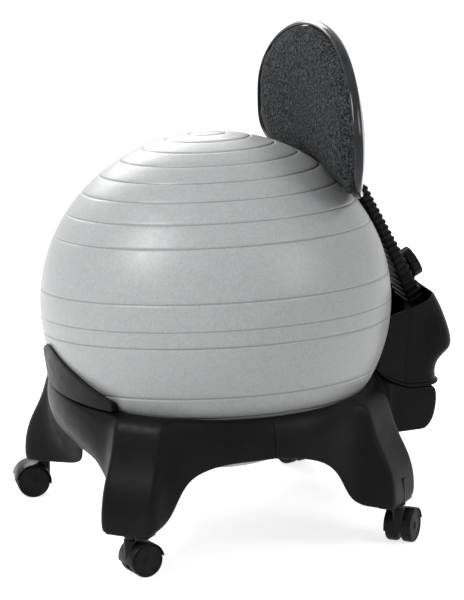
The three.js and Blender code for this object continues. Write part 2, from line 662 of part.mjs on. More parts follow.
function addBar() {
  const { width, depth } = sleeveSize();
  const length = barLength(SLEEVE.foot, SLEEVE.top);
  const tube = block(width, depth, length);
  const bore = block(width - 2 * SLEEVE.wall, depth - 2 * SLEEVE.wall, length + FIT.overrun);
  const hole = rod(KNOB.bolt + FIT.running, 0, depth).rotateX(-Math.PI / 2);
  hole.translate(0, 0, barLength((SLEEVE.foot + SLEEVE.top) / 2, KNOB.z));
  add("bar_sleeve", onBar(cut(tube, bore, hole), (SLEEVE.foot + SLEEVE.top) / 2), "painted");
  const along = (z) => BAR.y - (z - BAR.z) * Math.tan(BAR_LEAN);
  const half = BAR.thickness / 2 / Math.cos(BAR_LEAN);
  const bend = BAR.thickness / 2 * Math.tan(BAR_LEAN / 2);
  const upper = along(BAR.bend);
  const edge = [
    [along(BAR.foot) - half, BAR.foot], [along(BAR.foot) + half, BAR.foot],
    [upper + BAR.thickness / 2, BAR.bend + bend], [upper + BAR.thickness / 2, BAR.top],
    [upper - BAR.thickness / 2, BAR.top], [upper - BAR.thickness / 2, BAR.bend - bend]];
  const bar = plate(edge, BAR.width).rotateX(Math.PI / 2).rotateZ(Math.PI / 2);
  add("back_bar", cut(bar.translate(-BAR.width / 2, 0, 0), ...backScrewTools(BAR_HOLE)), "painted");
}

// The ribbed boot over the sleeve and the bar, deeper towards its foot
function addBoot() {
  const { width, rib, wall, foot, top, swell, pitch, swellShare, ribShares, boreEvery } = BOOT;
  const sleeve = sleeveSize();
  const bore = sleeve.depth / 2 + FIT.running;
  const root = bore + wall;
  const length = barLength(foot, top);
  const ribs = Math.round(length / pitch);
  const middle = (foot + top) / 2;
  const ring = (height, out) => {
    const low = THREE.MathUtils.smoothstep(swellShare - height, 0, swellShare) * swell;
    const [w, back, fore] = [width / 2 - rib + out, root + out, root + out + low];
    const c = rib + out;
    const corners = [[w, back - c], [w - c, back], [c - w, back], [-w, back - c],
      [-w, c - fore], [c - w, -fore], [w - c, -fore], [w, c - fore]];
    return corners.map(([x, y]) => new THREE.Vector3(x, y, (height - 0.5) * length));
  };
  const rings = [ring(0, -rib / 2)];
  const [crest, valley] = ribShares;
  for (let i = 0; i < ribs; i++) rings.push(ring((i + crest) / ribs, rib), ring((i + valley) / ribs, 0));
  rings.push(ring(1, -rib / 2));
  for (let i = ribs; i >= 0; i -= boreEvery) rings.push(ring(i / ribs, -wall));
  rings.push(ring(0, -wall));
  const hole = rod(KNOB.bolt + FIT.running, 0, bore * 3).rotateX(-Math.PI / 2);
  hole.translate(0, 0, barLength(middle, KNOB.z));
  add("ribbed_boot", onBar(cut(skin(rings, true), hole), middle), "boot");
}

// The lobed knob and its stud, square to the bar
function addKnob() {
  const { radius, thickness, lobes, lobeDepth, standOff, bolt } = KNOB;
  const inner = sleeveSize().depth / 2 + FIT.running + BOOT.wall + BOOT.rib + standOff;
  const outline = [];
  const points = lobes * SEGMENTS.lobe;
  for (let i = 0; i < points; i++) {
    const turn = i / points * 2 * Math.PI;
    const reach = radius - lobeDepth + lobeDepth * Math.cos(lobes * turn);
    outline.push([reach * Math.cos(turn), reach * Math.sin(turn)]);
  }
  const grip = plate(outline, thickness).translate(0, 0, inner);
  const stud = rod(bolt, BAR.thickness / 2 + FIT.gap, inner + thickness / 2);
  const knob = join(grip, stud).rotateX(-Math.PI / 2);
  add("height_knob", onBar(knob, KNOB.z), "knob");
}

// A point of the backrest's oval outline, grown outwards by a length. Its lower edge is lifted
// in the middle, over the bar.
function ovalPoint(turn, grow) {
  const { halfWidth, centre, rise, drop, lift, roundAbove, roundBelow } = BACK;
  const [c, s] = [Math.cos(turn), Math.sin(turn)];
  const square = 2 / (s > 0 ? roundAbove : roundBelow);
  const half = (s > 0 ? rise : drop) + grow;
  const arch = s < 0 ? lift * Math.abs(s) ** square * (1 - Math.abs(c) ** (2 * square)) : 0;
  return [(halfWidth + grow) * Math.sign(c) * Math.abs(c) ** square,
    centre + half * Math.sign(s) * Math.abs(s) ** square + arch];
}

// The curved face that the pad's seam lies on: hollow across, kicked back below
function seamY(x, z) {
  const { halfWidth, edgeY, hollow, kick, kickFrom, centre, drop } = BACK;
  const across = Math.min(Math.abs(x) / halfWidth, 1);
  const low = Math.max(0, (kickFrom - z) / (kickFrom - centre + drop));
  return edgeY + (hollow + kick * low * low) * (1 - across * across);
}

// One ring of the backrest: the outline shrunk by a share, at a depth behind the seam face
function backRing(size, grow, depthOf) {
  const ring = [];
  for (let i = 0; i < BACK_STEPS; i++) {
    const [ox, oz] = ovalPoint(i / BACK_STEPS * 2 * Math.PI, grow);
    const [x, z] = [ox * size, BACK.centre + (oz - BACK.centre) * size];
    ring.push(new THREE.Vector3(x, depthOf(x, z), z));
  }
  return ring;
}

// A closed skin over rings that start and end at a point
function lens(rings, first, last) {
  const count = rings[0].length;
  const all = [Array(count).fill(first), ...rings, Array(count).fill(last)];
  const position = all.flat().flatMap((p) => [p.x, p.y, p.z]);
  const index = [];
  for (let i = 0; i < all.length - 1; i++) {
    for (let j = 0; j < count; j++) {
      const [a, b] = [i * count + j, i * count + (j + 1) % count];
      index.push(a, a + count, b + count, a, b + count, b);
    }
  }
  const geometry = new THREE.BufferGeometry();
  geometry.setAttribute("position", new THREE.Float32BufferAttribute(position, 3));
  geometry.setIndex(index);
  return clean(geometry);
}

function backPoint(depthOf) {
  return new THREE.Vector3(0, depthOf(0, BACK.centre), BACK.centre);
}

// Depths behind the seam face at which the board and the shell start and end
function backLayers() {
  const boardFront = BACK.padEdge + FIT.seat;
  const boardRear = boardFront + BACK.board;
  const shellRear = boardRear + FIT.gap + BACK.shell;
  return { boardFront, boardRear, shellRear };
}

function barFace() {
  const upper = BAR.y - (BAR.bend - BAR.z) * Math.tan(BAR_LEAN);
  return upper - BAR.thickness / 2 - FIT.gap;
}

function addPad() {
  const { crown, padEdge, drawIn, ballGap, halfWidth } = BACK;
  const front = (size) => (x, z) => {
    const y = seamY(x, z) - crown * (1 - size ** FALL.crown);
    return z > BALL.height + BALL.radius ? y : Math.max(y, ballBack(x, z) + ballGap);
  };
  const behind = (depth) => (x, z) => seamY(x, z) + depth;
  const rings = PAD_SHARES.map((size) => backRing(size, 0, front(size)));
  const edge = 1 - drawIn / halfWidth;
  rings.push(backRing(1, 0, behind(0)), backRing(edge, 0, behind(padEdge / 2)));
  rings.push(...[edge, ...LAYER_SHARES.toReversed()].map((size) => backRing(size, 0, behind(padEdge))));
  add("back_pad", lens(rings, backPoint(front(0)), backPoint(behind(padEdge))), "fabric");
}

// Rear face of the shell: from the trim inwards to the flat place that the bar meets
function shellBack(size) {
  return (x, z) => {
    const least = seamY(x, z) + backLayers().shellRear;
    return Math.max(least, between(barFace(), least, size ** FALL.dish));
  };
}

const BAR_HOLE = SCREW.radius + FIT.gap;

// Rods through the bar, the shell and the board where the two back screws pass
function backScrewTools(radius) {
  const face = barFace();
  const reach = BAR.thickness + FIT.gap + FIT.overrun;
  return backScrewHeights().map((z) => {
    const tool = rod(radius, -SCREW.length, reach).rotateX(-Math.PI / 2);
    return tool.translate(0, face, z);
  });
}

function backScrewHeights() {
  const length = BAR.top - BAR.bend;
  return SCREW.shares.map((share) => BAR.bend + length * share);
}

function addBack() {
  const { boardFront, boardRear } = backLayers();
  const edge = 1 - BACK.drawIn / BACK.halfWidth;
  const behind = (depth) => (x, z) => seamY(x, z) + depth;
  const boardSizes = [...LAYER_SHARES, edge];
  const boardRings = boardSizes.map((size) => backRing(size, 0, behind(boardRear)));
  boardRings.push(...boardSizes.toReversed().map((size) => backRing(size, 0, behind(boardFront))));
  add("back_board", lens(boardRings, backPoint(behind(boardRear)), backPoint(behind(boardFront))), "board");
  const sizes = [...LAYER_SHARES, 1];
  const rim = -FIT.gap;
  const inside = (size) => (x, z) => shellBack(size)(x, z) - BACK.shell;
  const shellRings = sizes.map((size) => backRing(size, rim, inside(size)));
  shellRings.push(...sizes.map((size) => backRing(size, rim, shellBack(size))).reverse());
  const shell = lens(shellRings, backPoint(inside(0)), backPoint(shellBack(0)));
  add("back_shell", cut(shell, ...backScrewTools(BAR_HOLE)), "gloss");
  addTrim();
  addBackScrews();
}

function addTrim() {
  const { trim } = BACK;
  const { shellRear } = backLayers();
  const shares = [[0, 0.04], [0.55, 0.02], [0.9, 0.25], [1, 0.55], [0.8, 0.9], [0.45, 1], [0, 1]];
  const rings = [];
  for (let i = 0; i < BACK_STEPS; i++) {
    const turn = i / BACK_STEPS * 2 * Math.PI;
    rings.push(shares.map(([out, down]) => {
      const [x, z] = ovalPoint(turn, between(FIT.gap, trim, out));
      return new THREE.Vector3(x, seamY(x, z) + shellRear * down, z);
    }));
  }
  add("back_trim", skin(rings, true), "chrome");
}

function addBackScrews() {
  const face = barFace() + FIT.gap + BAR.thickness + FIT.gap;
  backScrewHeights().forEach((z, i) => {
    const { radius, headRadius, head, length } = SCREW;
    const screw = turned([[0, -length], [radius, -length], [radius, 0], [headRadius, 0],
      [headRadius, head], [0, head]], SEGMENTS.rod);
    screw.rotateX(-Math.PI / 2).translate(0, face, z);
    add(`back_screw_${i + 1}`, screw, "steel");
  });
}

// One castor, built with its stem on the vertical axis and its wheels trailing along +X
function addCastor(leg) {
  const {
    wheelRadius, wheelWidth, hoodWall, web, trail, barrel, stem, axle, hub, barrelTop, collar,
    tyreEdge, dish, discShare,
  } = CASTOR;
  const group = new THREE.Group();
  group.position.set(leg.x, leg.y, 0);
  group.rotation.z = rad(SWIVELS_DEG[leg.name]);
  const inside = wheelRadius + FIT.running;
  const width = web + 2 * (FIT.running + wheelWidth);
  const arc = new THREE.Shape();
  arc.absarc(0, 0, inside + hoodWall, rad(HOOD_DEG.from), rad(HOOD_DEG.to), false);
  arc.absarc(0, 0, inside, rad(HOOD_DEG.to), rad(HOOD_DEG.from), true);
  const cover = clean(new THREE.ExtrudeGeometry(arc, {
    depth: width, bevelEnabled: false, curveSegments: SEGMENTS.hoodArc }));
  const fin = new THREE.Shape();
  fin.absarc(0, 0, inside + hoodWall / 2, 0, Math.PI, false);
  const middle = clean(new THREE.ExtrudeGeometry(fin, {
    depth: web, bevelEnabled: false, curveSegments: SEGMENTS.finArc }));
  const stemFoot = barrelTop - barrel;
  const upright = (piece, depth) => piece.translate(0, 0, -depth / 2).rotateX(Math.PI / 2)
    .translate(trail, 0, wheelRadius);
  const boss = rod(hub, 0, web);
  const middleSkin = inside + hoodWall / 2;
  const neckFoot = wheelRadius + Math.sqrt(Math.max(middleSkin ** 2 - (trail + barrel) ** 2, 0));
  const wheelSpace = rod(middleSkin, -FIT.overrun, width + FIT.overrun, SEGMENTS.wheelSpace);
  const neck = cut(rod(barrel, neckFoot, barrelTop), upright(wheelSpace, width));
  const hood = cut(join(upright(cover, width), upright(middle, web), upright(boss, web), neck),
    upright(rod(axle + FIT.gap, -FIT.overrun, web + FIT.overrun), web),
    rod(stem + FIT.gap, stemFoot - FIT.running, barrelTop + FIT.overrun));
  add(`castor_hood_${leg.name}`, hood, "hood", group);
  const collarFoot = barrelTop + FIT.running;
  const collarTop = BASE.footHeight - FIT.gap;
  const stemTop = BASE.footHeight + SOCKET.height - BASE.wall - FIT.gap;
  add(`castor_stem_${leg.name}`, turned([[0, stemFoot], [stem, stemFoot], [stem, collarFoot],
    [collar, collarFoot], [collar, collarTop], [stem, collarTop], [stem, stemTop], [0, stemTop]],
  SEGMENTS.rod), "steel", group);
  const pin = rod(axle, 0, width - FIT.gap);
  add(`castor_axle_${leg.name}`, upright(pin, width - FIT.gap), "painted", group);
  const bore = axle + FIT.gap;
  for (const side of [1, -1]) {
    const near = web / 2 + FIT.running;
    const far = near + wheelWidth - FIT.running;
    const profile = [[bore, near], [wheelRadius - tyreEdge, near], [wheelRadius, near + tyreEdge],
      [wheelRadius, far - tyreEdge], [wheelRadius - tyreEdge, far], [wheelRadius * discShare, far - dish],
      [bore, far - dish], [bore, near]];
    const wheel = turned(profile, SEGMENTS.wheel);
    wheel.rotateX(-Math.PI / 2 * side).translate(trail, 0, wheelRadius);
    add(`castor_wheel_${leg.name}_${side > 0 ? "a" : "b"}`, clean(wheel), "wheel", group);
  }
  chair.add(group);
}

addBall();
addBase();
addGuard();
addHousing();
addFoot();
addFootBolt();
addBar();
addBoot();
addKnob();
addPad();
addBack();
LEGS.forEach(addCastor);

// The origin: the floor under the middle of the chair's footprint
const ahead = BASE.frontRadius + FIT.gap + GUARD.lean;
const behindAxis = HOUSING.reach + HOUSING.bulge;
chair.position.y = (ahead - behindAxis) / 2;

export default chair;
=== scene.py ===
"""Balance ball chair: a silver-grey ball in a black moulded ring on castors, with an oval backrest.

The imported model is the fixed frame. Each class below dresses one sub-assembly: it models the
pieces that show and gives every piece and every carried-over node its finish. Sizes are in
millimetres about the ball's upright axis; meshes are in metres in the model's own frame.
"""
import logging
import math
from dataclasses import dataclass
from enum import Enum
from typing import Callable, Optional, Sequence, Union

import bpy
from mathutils import Matrix, Vector


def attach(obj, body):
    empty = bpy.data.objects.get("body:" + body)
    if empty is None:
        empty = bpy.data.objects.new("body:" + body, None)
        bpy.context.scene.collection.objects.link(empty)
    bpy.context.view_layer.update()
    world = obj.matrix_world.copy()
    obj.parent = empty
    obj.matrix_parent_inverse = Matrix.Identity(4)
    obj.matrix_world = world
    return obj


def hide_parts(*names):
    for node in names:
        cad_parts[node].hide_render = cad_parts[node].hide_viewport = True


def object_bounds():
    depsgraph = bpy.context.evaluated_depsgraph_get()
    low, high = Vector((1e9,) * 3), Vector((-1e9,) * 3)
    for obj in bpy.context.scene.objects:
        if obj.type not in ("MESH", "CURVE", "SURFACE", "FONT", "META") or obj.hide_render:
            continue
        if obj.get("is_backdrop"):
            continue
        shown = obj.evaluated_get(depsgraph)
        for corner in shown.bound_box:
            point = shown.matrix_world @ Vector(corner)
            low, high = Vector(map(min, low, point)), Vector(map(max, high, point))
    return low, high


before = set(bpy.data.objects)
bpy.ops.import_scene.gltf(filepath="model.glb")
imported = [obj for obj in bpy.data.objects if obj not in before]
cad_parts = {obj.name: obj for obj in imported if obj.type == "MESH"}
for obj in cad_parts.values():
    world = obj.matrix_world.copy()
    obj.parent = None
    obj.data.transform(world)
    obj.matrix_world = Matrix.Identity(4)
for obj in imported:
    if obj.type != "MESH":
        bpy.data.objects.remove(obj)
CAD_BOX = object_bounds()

log = logging.getLogger("chair")

Point = tuple[float, float, float]
Profile = Sequence[tuple[float, float]]
Piece = bpy.types.Object
Tree = bpy.types.NodeTree
Socket = bpy.types.NodeSocket
Feed = Union[Socket, float, Sequence[float]]

MM = 0.001
# Where the ball's upright axis stands in the model's frame, in millimetres
AXIS_Y = -44.35
# The gap between the ball and the seat and guard that follow it, in millimetres
SEAT_GAP = 0.8


# ---------------------------------------------------------------- shared tools


class End(Enum):
    """How the two ends of a skin over rings are closed."""

    STRIP = "strip"
    POINT = "point"
    LOOP = "loop"


def metres(point: Sequence[float]) -> Vector:
    """A place in millimetres about the ball's axis, as metres in the model's frame."""
    return Vector((point[0], point[1] + AXIS_Y, point[2])) * MM


def between(low: float, high: float, share: float) -> float:
    """The value a share of the way from low to high."""
    return low + (high - low) * share


def smooth(value: float, low: float, high: float) -> float:
    """0 below low, 1 above high, and an even S between them."""
    t = min(max((value - low) / (high - low), 0.0), 1.0)
    return t * t * (3 - 2 * t)


def along(table: Profile, value: float) -> float:
    """The value of a table of pairs at a place, drawn straight between its pairs.

    Args:
        table: pairs of a place and a value, in order.
        value: the place.

    Returns:
        The value there.
    """
    for (x0, y0), (x1, y1) in zip(table, table[1:]):
        if value <= x1:
            return between(y0, y1, min(max((value - x0) / (x1 - x0), 0.0), 1.0))
    return table[-1][1]


def deselect() -> None:
    """Leaves object mode's selection empty."""
    if bpy.context.mode != "OBJECT":
        bpy.ops.object.mode_set(mode="OBJECT")
    bpy.ops.object.select_all(action="DESELECT")


def activate(*pieces: Piece) -> Piece:
    """Selects only these pieces and makes the first one active.

    Args:
        pieces: the objects to select.

    Returns:
        The active object.
    """
    deselect()
    for piece in pieces:
        piece.select_set(True)
    bpy.context.view_layer.objects.active = pieces[0]
    return pieces[0]


def settle(piece: Piece) -> Piece:
    """Writes a piece's place, turn and size into its mesh, and returns it.

    Args:
        piece: the object.

    Returns:
        The object, at the origin, unturned and unscaled.
    """
    activate(piece)
    bpy.ops.object.transform_apply(location=True, rotation=True, scale=True)
    return piece


def shade(piece: Piece, degrees: float = 38.0) -> Piece:
    """Shades a piece smooth, with edges sharper than an angle left crisp, and returns it.

    Args:
        piece: the object.
        degrees: the sharpest angle that is still smoothed.

    Returns:
        The object.
    """
    activate(piece)
    bpy.ops.object.shade_smooth_by_angle(angle=math.radians(degrees))
    return piece


def modify(piece: Piece, kind: str, **settings: object) -> Piece:
    """Adds a modifier to a piece and applies it.

    Args:
        piece: the object to change.
        kind: the modifier's type.
        settings: the modifier's properties by name.

    Returns:
        The piece.
    """
    activate(piece)
    modifier = piece.modifiers.new(kind.lower(), kind)
    for name, value in settings.items():
        setattr(modifier, name, value)
    bpy.ops.object.modifier_apply(modifier=modifier.name)
    return piece


def subdivide(piece: Piece, levels: int) -> Piece:
    """Smooths a piece by subdivision, applied, and returns it."""
    return modify(piece, "SUBSURF", levels=levels, render_levels=levels)


def bevelled(piece: Piece, width: float, segments: int = 3, degrees: float = 40.0) -> Piece:
    """Rounds a piece's sharp edges by a width in millimetres, and returns it."""
    return modify(piece, "BEVEL", width=width * MM, segments=segments, limit_method="ANGLE",
                  angle_limit=math.radians(degrees), harden_normals=False)


def outwards(piece: Piece) -> Piece:
    """Merges a piece's doubles and turns its faces outwards, and returns it.

    Args:
        piece: the object.

    Returns:
        The object.
    """
    activate(piece)
    bpy.ops.object.mode_set(mode="EDIT")
    bpy.ops.mesh.select_all(action="SELECT")
    bpy.ops.mesh.remove_doubles(threshold=1e-6)
    bpy.ops.mesh.normals_make_consistent(inside=False)
    bpy.ops.object.mode_set(mode="OBJECT")
    return piece


def joined(name: str, pieces: Sequence[Piece]) -> Piece:
    """Joins several meshes into one object under a name, and returns it.

    Args:
        name: the joined object's name.
        pieces: the meshes.

    Returns:
        The one object.
    """
    piece = activate(*pieces)
    if len(pieces) > 1:
        bpy.ops.object.join()
    piece.name = piece.data.name = name
    return piece


def skin(name: str, rings: Sequence[Sequence[Point]], end: End, local: bool = False) -> Piece:
    """A closed surface over rings of equally many points.

    Args:
        name: the new object's name.
        rings: points in millimetres about the ball's axis; each ring closes on itself.
        end: how the first and last ring are closed.
        local: whether the points are about the world's origin instead.

    Returns:
        The new object, its faces turned outwards.
    """
    count = len(rings[0])
    points = [Vector(p) * MM if local else metres(p) for ring in rings for p in ring]
    faces = []
    spans = len(rings) if end is End.LOOP else len(rings) - 1
    for i in range(spans):
        here, there = i * count, (i + 1) % len(rings) * count
        for j in range(count):
            k = (j + 1) % count
            faces.append((here + j, there + j, there + k, here + k))
    last = (len(rings) - 1) * count
    if end is End.STRIP:
        for j in range(count // 2 - 1):
            m, n = count - 1 - j, count - 2 - j
            faces.append((j, j + 1, n, m))
            faces.append((last + m, last + n, last + j + 1, last + j))
    if end is End.POINT:
        faces.append(tuple(range(count)))
        faces.append(tuple(range(last + count - 1, last - 1, -1)))
    mesh = bpy.data.meshes.new(name)
    mesh.from_pydata(points, [], faces)
    piece = bpy.data.objects.new(name, mesh)
    bpy.context.scene.collection.objects.link(piece)
    return outwards(piece)


def turned(name: str, profile: Profile, segments: int = 64) -> Piece:
    """A round piece drawn up ring by ring from [radius, height] pairs in millimetres.

    Args:
        name: the new object's name.
        profile: radius and height of each ring; the first and last are closed flat.
        segments: points in each ring.

    Returns:
        The new object, standing on Z at the world's origin.
    """
    deselect()
    radius, height = profile[0]
    bpy.ops.mesh.primitive_circle_add(vertices=segments, radius=radius * MM, location=(0, 0, height * MM))
    piece = bpy.context.active_object
    piece.name = piece.data.name = name
    bpy.ops.object.transform_apply(location=True)
    bpy.ops.object.mode_set(mode="EDIT")
    bpy.ops.mesh.select_all(action="SELECT")
    for (r0, z0), (r1, z1) in zip(profile, profile[1:]):
        bpy.ops.mesh.extrude_region_move(TRANSFORM_OT_translate={"value": (0, 0, (z1 - z0) * MM)})
        bpy.ops.transform.resize(value=(r1 / r0, r1 / r0, 1), center_override=(0, 0, z1 * MM))
    bpy.ops.mesh.select_all(action="SELECT")
    bpy.ops.mesh.fill_holes(sides=0)
    bpy.ops.mesh.normals_make_consistent(inside=False)
    bpy.ops.object.mode_set(mode="OBJECT")
    return piece


def washer(name: str, profile: Profile, segments: int = 64) -> Piece:
    """A round piece with a hole, from a closed loop of [radius, height] pairs in millimetres.

    Args:
        name: the new object's name.
        profile: the loop.
        segments: points round the hole.

    Returns:
        The new object, about the world's origin.
    """
    rings = []
    for i in range(segments):
        turn = i / segments * 2 * math.pi
        rings.append([(r * math.cos(turn), r * math.sin(turn), z) for r, z in profile])
    return skin(name, rings, End.LOOP, True)


def block(name: str, x: tuple[float, float], half: float, z: tuple[float, float], edge: float) -> Piece:
    """A block with rounded edges about the world's origin, in millimetres.

    Args:
        name: the new object's name.
        x: where it starts and ends across.
        half: half its width along.
        z: its foot and its top.
        edge: the radius of its edges.

    Returns:
        The new object.
    """
    deselect()
    bpy.ops.mesh.primitive_cube_add(size=1, location=((x[0] + x[1]) / 2 * MM, 0, (z[0] + z[1]) / 2 * MM))
    piece = bpy.context.active_object
    piece.name = piece.data.name = name
    piece.scale = ((x[1] - x[0]) * MM, 2 * half * MM, (z[1] - z[0]) * MM)
    return bevelled(settle(piece), edge)


def placed(piece: Piece, matrix: Matrix) -> Piece:
    """Moves a piece by a matrix, written into its mesh, and returns it.

    Args:
        piece: the object.
        matrix: where it goes.

    Returns:
        The object.
    """
    piece.data.transform(matrix)
    piece.data.update()
    return piece


def hex_rgb(code: str) -> tuple[float, float, float, float]:
    """An sRGB colour such as "#a0a0a0" as linear red, green, blue and full opacity.

    Args:
        code: the colour in hex.

    Returns:
        Its four parts.
    """
    parts = [int(code[i:i + 2], 16) / 255 for i in (1, 3, 5)]
    linear = [c / 12.92 if c <= 0.04045 else ((c + 0.055) / 1.055) ** 2.4 for c in parts]
    return (linear[0], linear[1], linear[2], 1.0)


def add_node(tree: Tree, kind: str, inputs: Optional[dict] = None, **settings: object) -> bpy.types.Node:
    """Adds a shader node.

    Args:
        tree: the material's node tree.
        kind: the node's type.
        inputs: input name or index to the socket that feeds it, or to its value.
        settings: the node's own properties by name.

    Returns:
        The new node.
    """
    node = tree.nodes.new(kind)
    for name, value in settings.items():
        setattr(node, name, value)
    for name, value in (inputs or {}).items():
        if isinstance(value, Socket):
            tree.links.new(value, node.inputs[name])
        else:
            node.inputs[name].default_value = value
    return node


# ---------------------------------------------------------------- finishes


def emptied(owner: bpy.types.ID) -> Tree:
    """Turns on the nodes of a material or a world, and returns its tree, emptied.

    Args:
        owner: the material or world.

    Returns:
        Its node tree.
    """
    owner.use_nodes = True
    owner.node_tree.nodes.clear()
    return owner.node_tree


@dataclass(frozen=True)
class Recipe:
    """The patterns of one material, read in its object's own coordinates."""

    tree: Tree
    place: Socket

    def noise(self, size: float, detail: float = 3.0) -> Socket:
        """A noise from 0 to 1 whose blotches are about a size in millimetres."""
        return add_node(self.tree, "ShaderNodeTexNoise", {
            "Vector": self.place, "Scale": 1 / (size * MM), "Detail": detail}).outputs[0]

    def maths(self, operation: str, first: Feed, second: Feed) -> Socket:
        """Two sockets or numbers put together by an operation."""
        return add_node(self.tree, "ShaderNodeMath", {0: first, 1: second}, operation=operation).outputs[0]

    def blend(self, share: Socket, low: str, high: str, start: float = 0.35, stop: float = 0.65) -> Socket:
        """A colour that runs between two hex colours as a value goes from start to stop.

        Args:
            share: the value.
            low: the colour at start.
            high: the colour at stop.
            start: where the blend starts.
            stop: where it ends.

        Returns:
            The colour.
        """
        ramp = add_node(self.tree, "ShaderNodeValToRGB", {"Fac": share})
        for element, place, code in zip(ramp.color_ramp.elements, (start, stop), (low, high)):
            element.position, element.color = place, hex_rgb(code)
        return ramp.outputs[0]

    def spread(self, share: Socket, low: float, high: float) -> Socket:
        """A value that runs from low to high as another goes from 0.3 to 0.7."""
        return add_node(self.tree, "ShaderNodeMapRange", {
            "Value": share, "From Min": 0.3, "From Max": 0.7, "To Min": low, "To Max": high}).outputs[0]

    def bump(self, height: Socket, depth: float, under: Optional[Socket] = None) -> Socket:
        """The normal of a bump over another one.

        Args:
            height: the pattern that it follows.
            depth: its depth in millimetres.
            under: the normal of the bump beneath it, if there is one.

        Returns:
            The normal.
        """
        inputs = {"Height": height, "Strength": 1.0, "Distance": depth * MM}
        if under is not None:
            inputs["Normal"] = under
        return add_node(self.tree, "ShaderNodeBump", inputs).outputs[0]


class Finish:
    """A finish that makes its material once and then hands out the same one."""

    made: dict[str, bpy.types.Material] = {}
    name: str

    def inputs(self, recipe: Recipe) -> dict[str, Feed]:
        """The inputs of the Principled shader that make the finish."""
        raise NotImplementedError

    def material(self) -> bpy.types.Material:
        """The finish's material, named for what the real one is.

        Returns:
            The material, the same one each time.
        """
        if self.name not in Finish.made:
            material = bpy.data.materials.new(self.name)
            tree = emptied(material)
            recipe = Recipe(tree, add_node(tree, "ShaderNodeTexCoord").outputs["Object"])
            skin_node = add_node(tree, "ShaderNodeBsdfPrincipled", self.inputs(recipe))
            add_node(tree, "ShaderNodeOutputMaterial", {"Surface": skin_node.outputs[0]})
            Finish.made[self.name] = material
        return Finish.made[self.name]


@dataclass(frozen=True)
class Moulded(Finish):
    """Injection-moulded plastic or rubber: a fine spark-eroded grain over slow colour shifts."""

    name: str
    low: str
    high: str
    roughness: tuple[float, float]
    grain: float
    depth: float
    cloud: float
    ior: float = 1.5
    coat: float = 0.0
    specular: float = 0.11

    def inputs(self, recipe: Recipe) -> dict[str, Feed]:
        """Colour clouds, uneven roughness and a fine grain.

        Args:
            recipe: the material's patterns.

        Returns:
            The shader's inputs by name.
        """
        slow = recipe.bump(recipe.noise(self.cloud / 2, 1.0), self.depth * 4)
        return {
            "Base Color": recipe.blend(recipe.noise(self.cloud), self.low, self.high),
            "Roughness": recipe.spread(recipe.noise(self.cloud / 3), *self.roughness),
            "Normal": recipe.bump(recipe.noise(self.grain, 2.0), self.depth, slow),
            "IOR": self.ior, "Specular IOR Level": self.specular,
            "Coat Weight": self.coat, "Coat Roughness": 0.12}


@dataclass(frozen=True)
class BallVinyl(Finish):
    """Blow-moulded soft vinyl in silver grey: satin, faintly mottled, with a fine pebble."""

    name: str = "soft vinyl, silver grey"
    low: str = "#a0a1a2"
    high: str = "#b5b6b7"
    mottle: float = 12.0
    # The pigment's speckle is drawn at about 2.5 mm so that it shows from a few steps away
    speckle: float = 2.5
    swell: float = 16.0

    def inputs(self, recipe: Recipe) -> dict[str, Feed]:
        """The mottle, the speckle of the pigment and the pebble.

        Args:
            recipe: the material's patterns.

        Returns:
            The shader's inputs by name.
        """
        mottle, speckle = recipe.noise(self.mottle, 5.0), recipe.noise(self.speckle)
        tone = recipe.maths("MULTIPLY", recipe.maths("ADD", recipe.spread(mottle, 0.44, 0.56), speckle), 0.5)
        slow = recipe.bump(recipe.noise(self.swell, 2.0), 0.16)
        return {
            "Base Color": recipe.blend(tone, self.low, self.high, 0.38, 0.62),
            "Roughness": recipe.spread(mottle, 0.33, 0.43),
            "Normal": recipe.bump(speckle, 0.09, slow),
            "IOR": 1.5, "Sheen Weight": 0.04}


@dataclass(frozen=True)
class Weave(Finish):
    """Polyester upholstery cloth: a close plain weave of dark and lighter threads."""

    name: str = "polyester upholstery cloth, charcoal"
    low: str = "#060607"
    high: str = "#545658"
    # Threads are drawn 2.4 mm apart, about three times the real ones, so that the cloth shows
    thread: float = 2.4
    wear: float = 30.0
    ripple: float = 45.0

    def inputs(self, recipe: Recipe) -> dict[str, Feed]:
        """Warp and weft, melange speckle and slow shading.

        Args:
            recipe: the material's patterns.

        Returns:
            The shader's inputs by name.
        """
        crossing = recipe.maths("MULTIPLY", self.wave(recipe, "X"), self.wave(recipe, "Z"))
        melange = recipe.spread(recipe.noise(self.thread * 1.4), 0.0, 1.0)
        light, dark = recipe.maths("MULTIPLY", melange, 0.65), recipe.maths("MULTIPLY", crossing, 0.45)
        tone = recipe.maths("ADD", light, dark)
        slow = recipe.bump(recipe.noise(self.ripple, 2.0), 0.8)
        return {
            "Base Color": recipe.blend(tone, self.low, self.high, 0.3, 0.74),
            "Roughness": recipe.spread(recipe.noise(self.wear), 0.88, 0.98),
            "Normal": recipe.bump(tone, 0.5, slow),
            "Specular IOR Level": 0.08, "Sheen Weight": 0.02, "Sheen Roughness": 0.5}

    def wave(self, recipe: Recipe, axis: str) -> Socket:
        """One set of threads along an axis.

        Args:
            recipe: the material's patterns.
            axis: X or Z, across the threads.

        Returns:
            0 to 1 and back.
        """
        # One band of a wave at scale 1 is 0.31 of a unit wide
        return add_node(recipe.tree, "ShaderNodeTexWave", {
            "Vector": recipe.place, "Scale": 0.314 / (self.thread * MM), "Distortion": 0.6, "Detail": 1.0},
            bands_direction=axis).outputs["Fac"]


